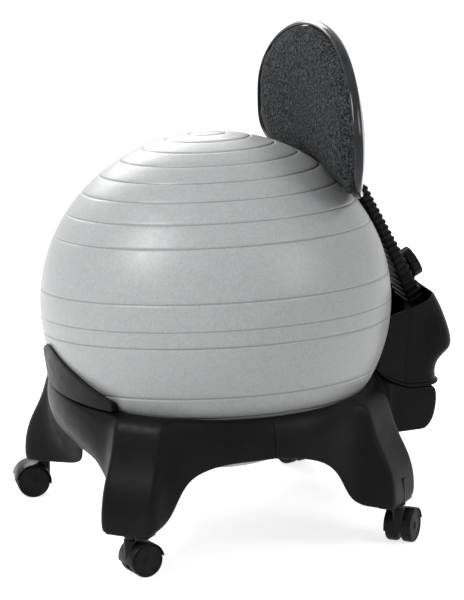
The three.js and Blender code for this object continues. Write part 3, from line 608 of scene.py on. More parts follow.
@dataclass(frozen=True)
class Metal(Finish):
    """A plated or painted metal: even colour with faint clouds and a fine brushed or cast grain."""

    name: str
    low: str
    high: str
    roughness: tuple[float, float]
    grain: float
    depth: float
    metallic: float = 1.0
    cloud: float = 25.0
    polish: float = 8.0

    def inputs(self, recipe: Recipe) -> dict[str, Feed]:
        """The clouds, the uneven polish and the grain.

        Args:
            recipe: the material's patterns.

        Returns:
            The shader's inputs by name.
        """
        return {
            "Base Color": recipe.blend(recipe.noise(self.cloud), self.low, self.high),
            "Roughness": recipe.spread(recipe.noise(self.polish), *self.roughness),
            "Normal": recipe.bump(recipe.noise(self.grain, 2.0), self.depth),
            "Metallic": self.metallic}


@dataclass(frozen=True)
class Plywood(Finish):
    """Birch plywood stained black: long grain with lighter streaks."""

    name: str = "birch plywood, stained black"
    low: str = "#191715"
    high: str = "#2a2723"
    grain: float = 2.5
    # How much less the grain changes along its length
    stretch: float = 0.12

    def inputs(self, recipe: Recipe) -> dict[str, Feed]:
        """Stretched grain for colour, roughness and bump.

        Args:
            recipe: the material's patterns.

        Returns:
            The shader's inputs by name.
        """
        drawn_out = {"Vector": recipe.place, "Scale": (self.stretch, 1.0, 1.0)}
        place = add_node(recipe.tree, "ShaderNodeMapping", drawn_out).outputs[0]
        grain = Recipe(recipe.tree, place).noise(self.grain, 6.0)
        return {
            "Base Color": recipe.blend(grain, self.low, self.high),
            "Roughness": recipe.spread(grain, 0.6, 0.8),
            "Normal": recipe.bump(grain, 0.15)}


# Colours, roughness, grain size and depth in millimetres, cloud size, IOR, coat and specular level
BASE_PLASTIC = Moulded(
    "polypropylene, moulded black", "#0c0c0d", "#121213", (0.33, 0.44), 1.6, 0.03, 55.0, 1.42)
GUARD_PLASTIC = Moulded(
    "polypropylene, guard, moulded black", "#0f0f10", "#151516", (0.36, 0.48), 1.6, 0.03, 45.0, 1.42)
# Darker vinyl that paints shade into the bottoms of the ball's moulded lines
LINE_SHADE_VINYL = BallVinyl("soft vinyl, silver grey, painted line shade", "#888a8b", "#969798")
BOOT_RUBBER = Moulded("thermoplastic rubber, black", "#0e0e0f", "#161718", (0.3, 0.42), 1.0, 0.02, 18.0, 1.46)
KNOB_PLASTIC = Moulded("nylon, black knob", "#111213", "#1a1a1b", (0.4, 0.5), 1.0, 0.03, 12.0, 1.46)
GLOSS_SHELL = Moulded(
    "ABS, moulded gloss black", "#0c0c0d", "#121314", (0.12, 0.2), 1.2, 0.004, 60.0, 1.5, 0.25, 0.4)
HOOD_PLASTIC = Moulded("ABS, castor hood black", "#0e0f10", "#161718", (0.22, 0.34), 1.2, 0.01, 20.0)
WHEEL_NYLON = Moulded("nylon, castor wheel black", "#111213", "#191a1b", (0.42, 0.55), 1.0, 0.03, 14.0, 1.44)
PLUG_PLASTIC = Moulded("polyethylene, white plug", "#d9d9d6", "#e6e6e3", (0.4, 0.5), 1.0, 0.02, 6.0)
# Colours, roughness, grain size and depth in millimetres, and how metallic
TRIM_CHROME = Metal("black chrome-plated ABS", "#2f3032", "#393a3c", (0.11, 0.19), 2.0, 0.003)
ZINC_STEEL = Metal("steel, zinc plate", "#707376", "#85888c", (0.26, 0.4), 0.9, 0.012)
BLACK_ZINC = Metal("steel, black zinc plate", "#1c1d1e", "#27282a", (0.3, 0.42), 0.9, 0.012)
BLACK_STEEL = Metal("steel, black powder coat", "#17181a", "#212224", (0.38, 0.5), 0.8, 0.03, 0.0)


def dress(piece: Piece, finish: Finish, body: str, slot: str, *nodes: str) -> Piece:
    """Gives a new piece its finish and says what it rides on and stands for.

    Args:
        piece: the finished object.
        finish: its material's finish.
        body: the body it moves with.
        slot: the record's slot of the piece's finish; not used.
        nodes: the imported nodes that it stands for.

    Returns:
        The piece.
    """
    piece.data.materials.clear()
    piece.data.materials.append(finish.material())
    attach(piece, body)
    if nodes:
        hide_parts(*nodes)
    log.info("%s: %d faces, on %s", piece.name, len(piece.data.polygons), body)
    return piece


def redress(finish: Finish, *nodes: str) -> None:
    """Gives carried-over nodes a better material in place of their own.

    Args:
        finish: their new finish.
        nodes: the nodes' names.
    """
    for name in nodes:
        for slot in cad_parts[name].material_slots:
            slot.material = finish.material()
        log.info("%s keeps its solid, in %s", name, finish.name)


# ---------------------------------------------------------------- the ball


@dataclass
class Ball:
    """The inflated ball: slightly flat along its pole, which leans to the chair's right."""

    radius: float = 260.0
    pole_radius: float = 249.2
    height: float = 341.6
    lean: float = math.radians(7.2)
    segments: int = 160
    # Degrees between the plain rings, the last of them, and where the skin closes at the poles
    ring_step: int = 3
    last_ring: int = 87
    pole_edge: float = 89.6
    ridge_width: float = 5.4
    ridge_depth: float = 1.35
    ridges: tuple[float, ...] = (7.4, 26.0, 34.6, 43.2, 51.3, 59.6, 67.8, 76.0, 84.0)
    seam: float = -1.7
    seam_depth: float = 0.45
    # Shares of a line's half width: the rings across it, and its bottom with painted shade, narrower in the
    # seam
    line_steps: tuple[float, ...] = (-1.15, -0.75, -0.4, 0.0, 0.4, 0.75, 1.15)
    line_shade_share: float = 0.4
    seam_shade_share: float = 0.7
    plug_radius: float = 9.0

    def reach(self, azimuth: float, z: float) -> float:
        """Distance from the upright axis to the ball in a direction, at a height.

        Args:
            azimuth: the direction.
            z: the height.

        Returns:
            The distance.
        """
        lift = z - self.height
        across, down = -math.sin(self.lean) * math.cos(azimuth), math.cos(self.lean) * lift
        flat = 1 / self.pole_radius ** 2 - 1 / self.radius ** 2
        a = 1 / self.radius ** 2 + flat * across * across
        b = flat * across * down
        c = (lift / self.radius) ** 2 + flat * down * down - 1
        return (-b + math.sqrt(max(b * b - a * c, 0.0))) / a

    def back(self, x: float, z: float) -> float:
        """How far back the ball reaches beside its middle plane, at a height.

        Args:
            x: how far beside the middle.
            z: the height.

        Returns:
            The place along, behind the axis.
        """
        azimuth, y = math.pi / 2, 0.0
        for _ in range(6):
            y = math.sqrt(max(self.reach(azimuth, z) ** 2 - x * x, 0.0))
            azimuth = math.atan2(y, x)
        return y

    def depth(self, latitude: float) -> float:
        """Depth of the moulded lines at a latitude in degrees.

        Args:
            latitude: degrees from the ball's own equator.

        Returns:
            The depth there.
        """
        arc = math.radians(1) * self.radius
        lines = [(line, self.ridge_depth, self.ridge_width) for r in self.ridges for line in (r, -r)]
        lines.append((self.seam, self.seam_depth, self.ridge_width * 0.6))
        deepest = 0.0
        for line, depth, width in lines:
            away = abs(latitude - line) * arc / (width / 2)
            if away < 1:
                deepest = max(deepest, depth * (0.5 + 0.5 * math.cos(math.pi * away)))
        return deepest

    def latitudes(self) -> list[float]:
        """Latitudes of the ball's rings: close together at each moulded line.

        Returns:
            Degrees, from pole to pole.
        """
        found = {float(v) for v in range(-self.last_ring, self.last_ring + 1, self.ring_step)}
        half = math.degrees(self.ridge_width / 2 / self.radius)
        for line in [*self.ridges, *[-r for r in self.ridges], self.seam]:
            found.update(line + half * step for step in self.line_steps)
        kept: list[float] = []
        for value in sorted(found):
            if abs(value) < self.pole_edge - 0.2 and (not kept or value - kept[-1] > 0.1):
                kept.append(value)
        return [-self.pole_edge, *kept, self.pole_edge]

    def paint_line_shade(self, ball: Piece) -> None:
        """Paints shade into the bottoms of the moulded lines, as a darker vinyl on their faces.

        Args:
            ball: the ball's mesh.
        """
        ball.data.materials.append(LINE_SHADE_VINYL.material())
        half = math.degrees(self.ridge_width / 2 / self.radius) * self.line_shade_share
        pole, centre = Vector((-math.sin(self.lean), 0, math.cos(self.lean))), metres((0, 0, self.height))
        for face in ball.data.polygons:
            away = (face.center - centre) / MM
            up = away.dot(pole)
            out = math.sqrt(max(away.length_squared - up ** 2, 0.0))
            latitude = math.degrees(math.atan2(up / self.pole_radius, out / self.radius))
            in_ridge = any(abs(abs(latitude) - line) < half for line in self.ridges)
            if in_ridge or abs(latitude - self.seam) < half * self.seam_shade_share:
                face.material_index = 1

    def build(self) -> None:
        """Models the ball and its plug."""
        profile = []
        for latitude in self.latitudes():
            deep, turn = self.depth(latitude), math.radians(latitude)
            profile.append(((self.radius - deep) * math.cos(turn), (self.pole_radius - deep) * math.sin(turn)))
        stand = Matrix.Translation(metres((0, 0, self.height))) @ Matrix.Rotation(-self.lean, 4, "Y")
        ball = placed(turned("ball_vinyl_skin", profile, self.segments), stand)
        dress(shade(ball, 50), BallVinyl(), "ball", "ball_vinyl", "ball_skin")
        # The bottoms of the moulded lines get painted shade
        self.paint_line_shade(ball)
        r, seat = self.plug_radius, -self.pole_radius
        plug = turned("ball_plug_cap", [
            (1.2, seat - 1.1), (r * 0.3, seat - 1.1), (r * 0.36, seat - 1.9), (r * 0.85, seat - 1.9),
            (r, seat - 1.3), (r, seat + 0.4), (1, seat + 0.4)], 48)
        dress(shade(placed(plug, stand)), PLUG_PLASTIC, "ball", "plug_plastic", "ball_plug")


# ---------------------------------------------------------------- the ring with its legs


@dataclass
class Ring:
    """The moulded ring in two halves: seat, apron, four legs, rear lobe and front bowl."""

    ball: Ball
    wall: float = 4.5
    seat_foot: float = 198.0
    rim: float = 226.0
    crest: float = 1.4
    rim_width: float = 9.0
    apron_radius: float = 258.5
    apron_foot: float = 169.0
    front_radius: float = 250.0
    front_tuck: float = 50.0
    front_foot: float = 126.0
    front_step: float = 1.5
    leg_radius: float = 306.0
    foot_height: float = 62.0
    lobe_reach: float = 321.0
    lobe_top: float = 198.5
    lobe_rise: float = 22.0
    lobe_foot: float = 129.5
    lobe_half_width: float = 86.0
    housing_front: float = 228.0
    slope_from: float = 276.0
    half_gap: float = 0.15
    stance: tuple[float, float, float] = (207.468, -205.785, 210.375)
    leg_half: float = 8.2
    reach_fade: float = 2.6
    lobe_fade: float = 2.6
    front_half: float = 35.0
    front_fade: float = 2.4
    # How much of a leg's height its lower edge keeps, by the angle beside its middle
    height_shares: tuple[tuple[float, float], ...] = (
        (0, 1), (5, 0.985), (8.2, 0.93), (10.5, 0.83), (11.8, 0.73), (13, 0.59), (14.5, 0.43), (17, 0.28),
        (20, 0.18), (25, 0.09), (31, 0.035), (45, 0))
    # A leg's foot spreads wider under the front, and a rear leg's towards the chair's side
    front_spread: float = 1.6
    rear_spread: float = 1.42
    columns: tuple[float, ...] = (
        0, 2.7, 5.4, 7.4, 8.8, 10.2, 11.6, 13.2, 15, 17.2, 19.6, 22.5, 25.5, 29, 33, 37, 41, 45)
    seat_steps: int = 3
    # The closest that two columns come, in degrees, but for the pair at each joint, in radians
    least_turn: float = 0.55
    joint_turn: float = 0.003
    # In each leg: the post and its bore for the castor's stem, the floor plate and its webs
    post: float = 10.6
    post_bore: float = 6.1
    post_height: float = 41.0
    plate: float = 5.0
    plate_half: float = 34.0
    web_height: float = 25.0

    def legs(self) -> list[tuple[float, float]]:
        """Places of the four castor stems."""
        side, front, rear = self.stance
        return [(side, front), (-side, front), (side, rear), (-side, rear)]

    def seat_points(self, azimuth: float) -> list[tuple[float, float]]:
        """The part of the profile that the ball rests in, and the rim above it.

        Args:
            azimuth: the direction.

        Returns:
            Radius and height of each point, upwards and then outwards.
        """
        def on_ball(z: float) -> tuple[float, float]:
            """A place just clear of the ball."""
            return self.ball.reach(azimuth, z) + SEAT_GAP, z

        edge = on_ball(self.rim)[0]
        heights = [between(self.seat_foot, self.rim, i / self.seat_steps) for i in range(self.seat_steps)]
        return [*map(on_ball, heights), (edge, self.rim), (edge + self.rim_width, self.rim + self.crest)]

    def outline(self, crest: float, table: Profile, out: float, top: float,
                foot: float) -> list[tuple[float, float]]:
        """A profile from shares of the way out from the crest and down from top to foot."""
        return [(between(crest, out, share), between(top, foot, down)) for share, down in table]

    def profiles(self, crest: float, azimuth: float) -> list[list[tuple[float, float]]]:
        """The apron's, a leg's, the lobe's and the front's profile at a direction.

        Args:
            crest: the radius at which they all start.
            azimuth: the direction.

        Returns:
            Four profiles of equally many points.
        """
        apron = self.outline(crest, (
            (0.34, 0.07), (0.55, 0.17), (0.7, 0.28), (0.82, 0.4), (0.91, 0.53), (0.97, 0.66), (1, 0.79),
            (1.01, 0.9), (0.98, 1)), self.apron_radius, self.rim, self.apron_foot)
        leg = self.outline(crest, (
            (0.19, 0.02), (0.33, 0.075), (0.41, 0.16), (0.48, 0.27), (0.6, 0.405), (0.81, 0.56), (0.94, 0.7),
            (1, 0.85), (0.99, 1)), self.leg_radius, self.rim, self.foot_height)
        rear = self.lobe_reach / max(math.sin(azimuth), 0.2)
        out = max(self.apron_radius, min(rear, self.lobe_half_width / max(abs(math.cos(azimuth)), 0.2)))
        lobe = []
        for share, down in ((0.08, 0.7), (0.25, 1), (0.44, 1), (0.68, 1), (0.9, 1), (0.98, 1.15)):
            r = between(crest, out, share)
            lobe.append((r, between(self.rim, min(self.rim, self.lobe_height(r * math.sin(azimuth))), down)))
        lobe += self.outline(crest, ((1, 0.3), (0.95, 0.78), (0.8, 1)), out, self.lobe_top, self.lobe_foot)
        out = self.front_radius
        front = [(between(crest, out, share), self.rim + self.front_step) for share in (0.4, 0.95)]
        for into, down in (
                (0, 0.04), (-0.02, 0.13), (0.01, 0.3), (0.09, 0.47), (0.24, 0.63), (0.5, 0.8), (1, 1)):
            front.append((out - self.front_tuck * into, between(self.rim, self.front_foot, down)))
        return [apron, leg, lobe, front]

    def lobe_height(self, y: float) -> float:
        """Height of the lobe's top: level under the bar's foot, rising to the ring ahead of it."""
        ahead = max(0.0, (self.slope_from - y) / (self.slope_from - self.housing_front))
        return self.lobe_top + self.lobe_rise * ahead ** 1.5

    def height_share(self, leg: tuple[float, float], away: float) -> float:
        """How much of a leg's height the lower edge keeps at a turn in degrees beside it.

        Args:
            leg: the place of the leg's stem.
            away: the turn.

        Returns:
            The share.
        """
        side = away * leg[0] * leg[1] < 0
        spread = 1.0
        if leg[1] < 0 and not side:
            spread = self.front_spread
        elif leg[1] > 0 and side:
            spread = self.rear_spread
        return along(self.height_shares, abs(away) / spread) * (1 - min(abs(away) / 45, 1) ** 4)

    def profile(self, azimuth: float, thickness: float) -> list[tuple[float, float]]:
        """The whole profile at a direction, legs drawn in by a thickness for the inner face.

        Args:
            azimuth: the direction.
            thickness: how much narrower the legs are.

        Returns:
            Radius and height of each point.
        """
        seat = self.seat_points(azimuth)
        apron, tall, lobe, front = self.profiles(seat[-1][0], azimuth)
        nearest = min(self.legs(), key=lambda leg: abs(turn_between(azimuth, math.atan2(leg[1], leg[0]))))
        away = math.degrees(turn_between(azimuth, math.atan2(nearest[1], nearest[0])))
        half = self.leg_half
        narrow = half - math.degrees(thickness / self.leg_radius)
        outward = fade(abs(away), narrow, self.reach_fade)
        downward = self.height_share(nearest, away)
        lobe_half = math.degrees(math.atan2(self.lobe_half_width, self.housing_front))
        behind = fade(abs(math.degrees(turn_between(azimuth, math.pi / 2))), lobe_half, self.lobe_fade)
        ahead = fade(abs(math.degrees(turn_between(azimuth, -math.pi / 2))), self.front_half, self.front_fade)
        flat = 1 / math.cos(math.radians(min(abs(away), half)))
        lower = []
        for (r, z), (leg_r, leg_z), (lobe_r, lobe_z), (bowl_r, bowl_z) in zip(apron, tall, lobe, front):
            r = between(between(r, bowl_r, ahead * (1 - outward)), leg_r * flat, outward)
            z = between(between(z, bowl_z, ahead * (1 - downward)), leg_z, downward)
            lower.append((between(r, lobe_r, behind), between(z, lobe_z, behind)))
        return [*seat, *lower]

    def angles(self, start: float, stop: float) -> list[float]:
        """Directions of the ring's columns between two, closer beside the legs and the lobe.

        Args:
            start: the first direction.
            stop: the last one.

        Returns:
            All directions in order.
        """
        found = set()
        for x, y in self.legs():
            middle = math.atan2(y, x)
            base = math.floor(middle / (math.pi / 2)) * math.pi / 2
            for step in self.columns:
                found.add(round(middle - (middle - base) * step / 45, 6))
                found.add(round(middle + (base + math.pi / 2 - middle) * step / 45, 6))
        lobe_half = math.atan2(self.lobe_half_width, self.housing_front)
        corner = math.atan2(self.lobe_half_width, self.lobe_reach)
        for half in (corner * 0.35, corner * 0.7, corner * 0.93, corner, corner * 1.07,
                     *(between(corner, lobe_half, share) for share in (0.35, 0.55, 0.75)), lobe_half,
                     lobe_half + math.radians(1.3), lobe_half + math.radians(2.6)):
            found.update((round(math.pi / 2 + half, 6), round(math.pi / 2 - half, 6)))
        clear = self.joint_turn * 4
        inside = sorted(a for a in found if start + clear < a < stop - clear)
        kept = [start, start + self.joint_turn]
        for value in inside:
            if value - kept[-1] > math.radians(self.least_turn):
                kept.append(value)
        return [*kept, stop - self.joint_turn, stop]

    def half(self, name: str, start: float, stop: float, shift: float) -> Piece:
        """One half of the ring as a smooth closed shell.

        Args:
            name: the shell's name.
            start: the first direction.
            stop: the last one.
            shift: how far it stands back from the joint.

        Returns:
            The shell.
        """
        rings = []
        for azimuth in self.angles(start, stop):
            outer = self.profile(azimuth, 0.0)
            section = outer + inset(self.profile(azimuth, self.wall), self.wall)[::-1]
            rings.append([(r * math.cos(azimuth), r * math.sin(azimuth) + shift, z) for r, z in section])
        return subdivide(skin(name, rings, End.STRIP), 2)

    def socket(self, x: float, y: float, shift: float) -> list[Piece]:
        """The floor plate, ribs and post that hold a castor's stem inside a leg.

        Args:
            x: the stem's place across.
            y: its place along.
            shift: that of the half it is in.

        Returns:
            The plate, rib, web and post.
        """
        azimuth, radius = math.atan2(y, x), math.hypot(x, y)
        half = self.wall / 2
        reach = self.leg_radius - radius - half
        floor = self.foot_height + 0.2
        top = floor + self.post_height
        out, bore = self.post, self.post_bore
        post = [(bore, floor - 0.2), (out, floor - 0.2), (out, top - 1), (out - 1, top), (bore + 1, top),
                (bore, top - 1)]
        pieces = [
            block("foot_plate", (-17, reach - 1), self.plate_half, (floor, floor + self.plate), 1.2),
            block("foot_rib", (8, reach), half, (floor + 1, top - 4), 0.8),
            block("foot_web", (-half, half), self.plate_half, (floor + 1, floor + self.web_height), 0.8),
            washer("foot_post", post, 40)]
        turn = Matrix.Translation(metres((x, y + shift, 0))) @ Matrix.Rotation(azimuth, 4, "Z")
        return [placed(piece, turn) for piece in pieces]

    def build(self) -> None:
        """Models both halves with their sockets."""
        left_front, right_front, left_rear, right_rear = self.legs()
        for name, node, start, stop, shift, legs in (
                ("ring_front_half", "base_front", -math.pi, 0.0, -self.half_gap, (left_front, right_front)),
                ("ring_rear_half", "base_rear", 0.0, math.pi, self.half_gap, (left_rear, right_rear))):
            shell = shade(self.half(name, start, stop, shift), 60)
            sockets = [shade(piece) for x, y in legs for piece in self.socket(x, y, shift)]
            dress(joined(name, [shell, *sockets]), BASE_PLASTIC, "base", "base_plastic", node)
        redress(ZINC_STEEL, "joint_plate_left", "joint_plate_right", "joint_bolt_left_front",
                "joint_bolt_left_rear", "joint_bolt_right_front", "joint_bolt_right_rear")


def turn_between(a: float, b: float) -> float:
    """The turn from b to a, between minus and plus half a turn."""
    return math.atan2(math.sin(a - b), math.cos(a - b))


def fade(away: float, half: float, width: float) -> float:
    """1 within half, falling off smoothly over a width beyond it."""
    return 1.0 if away < half else math.exp((half - away) / width)


def inset(profile: Profile, wall: float) -> list[tuple[float, float]]:
    """The profile moved inwards by a wall, to its right-hand side.

    Args:
        profile: the outer profile.
        wall: how far it moves.

    Returns:
        The inner profile.
    """
    moved = []
    for i, (r, z) in enumerate(profile):
        r0, z0 = profile[max(i - 1, 0)]
        r1, z1 = profile[min(i + 1, len(profile) - 1)]
        length = math.hypot(r1 - r0, z1 - z0)
        moved.append((r + (z1 - z0) / length * wall, z - (r1 - r0) / length * wall))
    return moved


# ---------------------------------------------------------------- guard and housing


@dataclass
class Guard:
    """The raised wall at the front of the ring that keeps the ball in place."""

    ball: Ball
    ring: Ring
    lean: float = 10.0
    wall: float = 6.2
    peak: float = 300.0
    tip: float = 243.0
    edge: float = 2.2
    gap: float = 0.3
    half: float = math.radians(34)
    # The two straight edges meet in a rounded peak
    round_drop: float = 2.4
    round_half: float = math.radians(4)
    columns: int = 72

    def build(self) -> None:
        """Models the wall with its rounded upper edge and foot line."""
        foot = self.ring.rim + self.ring.front_step + self.gap
        out = self.ring.front_radius + self.gap
        rings = []
        for i in range(self.columns + 1):
            turn = between(-self.half, self.half, i / self.columns)
            azimuth = turn - math.pi / 2
            top = between(self.peak, self.tip, abs(turn) / self.half)
            top -= self.round_drop * max(0.0, 1 - abs(turn) / self.round_half) ** 2

            def inner(z: float) -> float:
                """Radius of the inner face at a height."""
                return self.ball.reach(azimuth, z) + SEAT_GAP

            def outer(z: float) -> float:
                """Radius of the outer face at a height."""
                return out + self.lean * (z - foot) / (self.peak - foot)

            def face(side: Callable[[float], float], *shares: float) -> list[tuple[float, float]]:
                """Places on a face at shares of its height."""
                return [(side(z), z) for z in (between(foot, top, share) for share in shares)]

            lip = outer(top)
            rim = max(inner(top), lip - self.wall)
            e = min(self.edge, (lip - rim) / 2.2)
            section = [
                (out - 1.5, foot), (out - 0.2, foot + 0.5), (out, foot + 2.2), *face(outer, 0.35, 0.7),
                (lip - 0.1, top - e * 1.4), (lip - e * 0.4, top - e * 0.35), (lip - e, top),
                (rim + e * 0.5, top), (rim, top - e * 0.6), *face(inner, 0.8, 0.5, 0.25),
                (inner(foot) + 0.4, foot)]
            rings.append([(r * math.cos(azimuth), r * math.sin(azimuth), z) for r, z in section])
        guard = subdivide(skin("front_guard_wall", rings, End.STRIP), 1)
        dress(shade(guard, 50), GUARD_PLASTIC, "base", "guard_plastic", "front_guard")


@dataclass
class Housing:
    """The rear housing round the foot of the back bar, open in front and above."""

    ball: Ball
    ring: Ring
    half_width: float = 84.0
    reach: float = 325.0
    wall: float = 3.0
    top: float = 337.0
    front_top: float = 306.0
    bulge: float = 24.0
    lip: float = 5.0
    corner: float = 26.0
    front: float = 228.0
    ball_gap: float = 2.5
    rear_seat: float = 0.5
    side_seat: float = 1.2
    side_lead: float = 3.0
    # A shallow step where the side wall's front part begins, and the columns ahead of it
    crease: float = 268.0
    step: float = 1.1
    side_columns: tuple[float, ...] = (254, 246, 238, 232)
    # Height share, swell share and bead share of each row, from the foot up
    rows: tuple[tuple[float, float, float], ...] = (
        (0.0, 0, 0.55), (0.008, 0, 0.92), (0.022, 0, 1.0), (0.036, 0, 0.92), (0.046, 0, 0.5), (0.052, 0, 0.12),
        (0.07, 0, 0.1), (0.1, 0, 0.1), (0.106, 0.0, 0.0), (0.14, 0.0, 0), (0.2, 0.06, 0), (0.26, 0.2, 0),
        (0.325, 0.5, 0), (0.385, 0.84, 0), (0.425, 0.97, 0), (0.47, 1.0, 0), (0.53, 0.96, 0), (0.6, 0.86, 0),
        (0.7, 0.68, 0), (0.82, 0.42, 0), (0.93, 0.12, 0), (0.985, -0.06, 0), (1.0, -0.1, 0))

    def path(self) -> list[tuple[float, float, float, float]]:
        """The wall in plan: each place and the way its face looks.

        Returns:
            Place across, place along, and the face's way across and along.
        """
        half = [(0.0, self.reach, 0.0, 1.0)]
        span = self.half_width - self.corner
        half += [(span * share, self.reach, 0.0, 1.0) for share in (0.35, 0.7, 0.92)]
        for i in range(11):
            turn = i / 10 * math.pi / 2
            nx, ny = math.sin(turn), math.cos(turn)
            half.append((span + self.corner * nx, self.reach - self.corner + self.corner * ny, nx, ny))
        deep = self.reach - self.corner
        crease, front = self.crease, self.front
        for y in (deep - 8, deep - 20, crease + 2.4, crease + 1, crease, crease - 6, *self.side_columns,
                  front + 0.8, front):
            half.append((self.half_width - (self.step if y < crease + 1.5 else 0), y, 1.0, 0.0))
        return [(-x, y, -nx, ny) for x, y, nx, ny in half[:0:-1]] + half

    def place(self, x: float, y: float, nx: float, ny: float, out: float, up: float) -> Point:
        """A point of the wall: its column stood off outwards, at a share of its height.

        Args:
            x: the column's place across.
            y: the column's place along.
            nx: the way its face looks, across.
            ny: the way its face looks, along.
            out: how far it stands off.
            up: share of the way from the foot to the mouth.

        Returns:
            The point; columns of the side walls draw back to follow the ball.
        """
        span, turn_in = self.reach - self.front, self.reach - self.corner
        side = y <= turn_in
        row, foot = y, self.ring.lobe_height(y) + self.rear_seat
        if side:
            nominal = between(foot, between(self.front_top, self.top, (y - self.front) / span), up)
            clear = self.ball.back(self.half_width - self.wall, nominal) + self.ball_gap
            edge = max(self.front, clear)
            row = between(turn_in, edge, (turn_in - y) / (turn_in - self.front))
            foot = self.ring.lobe_height(row - self.side_lead) + self.side_seat
        high = between(self.front_top, self.top, (row - self.front) / span)
        return (x + nx * out, row + ny * out, between(foot, high, up))

    def build(self) -> None:
        """Models the wall with its foot bead, belly and slanting mouth."""
        rings = []
        for column in self.path():
            swell = self.bulge * smooth(column[3], 0, 0.9)
            outer = [self.place(*column, swell * belly + self.lip * bead, up) for up, belly, bead in self.rows]
            inner = [self.place(*column, swell * belly - self.wall, up) for up, belly, bead in self.rows]
            rings.append(outer + inner[::-1])
        housing = subdivide(skin("rear_housing_wall", rings, End.STRIP), 1)
        dress(shade(housing, 45), BASE_PLASTIC, "base", "base_plastic", "rear_housing")


# ---------------------------------------------------------------- bar, boot and knob


@dataclass
class BackBar:
    """The steel bar in its sleeve, the ribbed boot over them and the clamping knob."""

    lean: float = math.radians(27.6)
    line_y: float = 308.0
    line_z: float = 330.0
    sleeve_depth: float = 10.7
    boot_width: float = 64.0
    rib: float = 2.7
    boot_gap: float = 0.6
    boot_wall: float = 1.2
    boot_foot: float = 319.0
    boot_top: float = 499.0
    swell: float = 9.0
    swell_share: float = 0.55
    pitch: float = 10.4
    # Along one rib: shares of the pitch, and how far out of the rib's height
    rib_steps: Profile = (
        (0.1, 0.06), (0.2, 0.8), (0.28, 1.0), (0.5, 1.0), (0.58, 0.8), (0.68, 0.06), (0.87, 0.0))
    knob_radius: float = 23.0
    knob_lobes: int = 10
    lobe_points: int = 12
    groove: float = 1.6
    stud: float = 4.0
    knob_z: float = 360.0
    stand_off: float = 2.5

    @property
    def root(self) -> float:
        """Depth of the boot's valleys from the bar's line."""
        return self.sleeve_depth / 2 + self.boot_gap + self.boot_wall

    @property
    def length(self) -> float:
        """The boot's length along the bar."""
        return (self.boot_top - self.boot_foot) / math.cos(self.lean)

    def stand(self, z: float) -> Matrix:
        """The matrix that sets a piece built at the origin on the bar's line at a height."""
        y = self.line_y - (z - self.line_z) * math.tan(self.lean)
        return Matrix.Translation(metres((0, y, z))) @ Matrix.Rotation(self.lean, 4, "X")

    def boot_ring(self, share: float, out: float) -> list[Point]:
        """One ring of the boot at a share of its length, stood out from its valleys.

        Args:
            share: how far up the boot.
            out: how far out from the valleys.

        Returns:
            The ring's points about the boot's middle.
        """
        low = smooth(self.swell_share - share, 0, self.swell_share) * self.swell
        w, back = self.boot_width / 2 - self.rib + out, self.root + out
        fore = back + low
        c = min(self.rib + out, back * 0.9) + 1.2
        z = (share - 0.5) * self.length
        ring: list[Point] = []
        for sx, y, dy in ((1, back, 1), (-1, back, 1), (-1, -fore, -1), (1, -fore, -1)):
            arc = [(sx * (w - c + c * math.sin(a)), y - dy * (c - c * math.cos(a)), z)
                   for a in (0.0, 0.4, 0.8, 1.17, math.pi / 2)]
            ring += arc if sx * dy < 0 else arc[::-1]
        return ring

    def build(self) -> None:
        """Models the boot and the knob, and dresses the bar and its sleeve."""
        ribs = round(self.length / self.pitch)
        rings = [self.boot_ring(0.0, -0.6), self.boot_ring(0.001, 0.0)]
        for i in range(ribs):
            rings += [self.boot_ring((i + step) / ribs, out * self.rib) for step, out in self.rib_steps]
        rings += [self.boot_ring(0.9995, 0.0), self.boot_ring(1.0, -0.6)]
        rings += [self.boot_ring(share, -self.boot_wall) for share in (1.0, 0.75, 0.5, 0.25, 0.0)]
        boot = skin("ribbed_boot_sleeve", rings, End.LOOP, True)
        placed(boot, self.stand((self.boot_foot + self.boot_top) / 2))
        dress(shade(boot, 50), BOOT_RUBBER, "base", "boot_rubber", "ribbed_boot")
        self.knob()
        redress(BLACK_STEEL, "back_bar", "bar_sleeve", "bar_foot")
        redress(ZINC_STEEL, "foot_bolt", "foot_nut", "back_screw_1", "back_screw_2")

    def knob(self) -> None:
        """Models the lobed knob, its face inset, on its stud."""
        inner = self.root + self.rib + self.stand_off
        points = self.knob_lobes * self.lobe_points
        rows = ((0.72, 0.0), (0.9, 0.4), (0.985, 1.6), (1.0, 3.2), (1.0, 12.6), (0.985, 14.2), (0.94, 15.0),
                (0.8, 15.0), (0.76, 14.3), (0.2, 14.3))
        rings = []
        for size, up in rows:
            depth = self.groove if size > 0.85 else 0.0
            ring = []
            for i in range(points):
                turn = i / points * 2 * math.pi
                # Narrow grooves part the broad lobes
                groove = max(0.0, 1 - abs(((turn * self.knob_lobes / (2 * math.pi)) % 1) - 0.5) * 6) ** 1.2
                reach = self.knob_radius * size - depth * groove
                ring.append((reach * math.cos(turn), reach * math.sin(turn), inner + up))
            rings.append(ring)
        grip = skin("knob_grip", rings, End.POINT, True)
        stud = turned("knob_stud", [(self.stud, 3.6), (self.stud, inner + 6)], 32)
        low, high = inner + 14.2, inner + 15
        face = turned("knob_face", [(9, low), (9, low + 0.5), (8.4, high), (1, high)], 48)
        knob = joined("height_knob_grip", [grip, stud, face])
        placed(knob, self.stand(self.knob_z) @ Matrix.Rotation(-math.pi / 2, 4, "X"))
        dress(shade(knob, 35), KNOB_PLASTIC, "knob", "knob_plastic", "height_knob")


# ---------------------------------------------------------------- the backrest


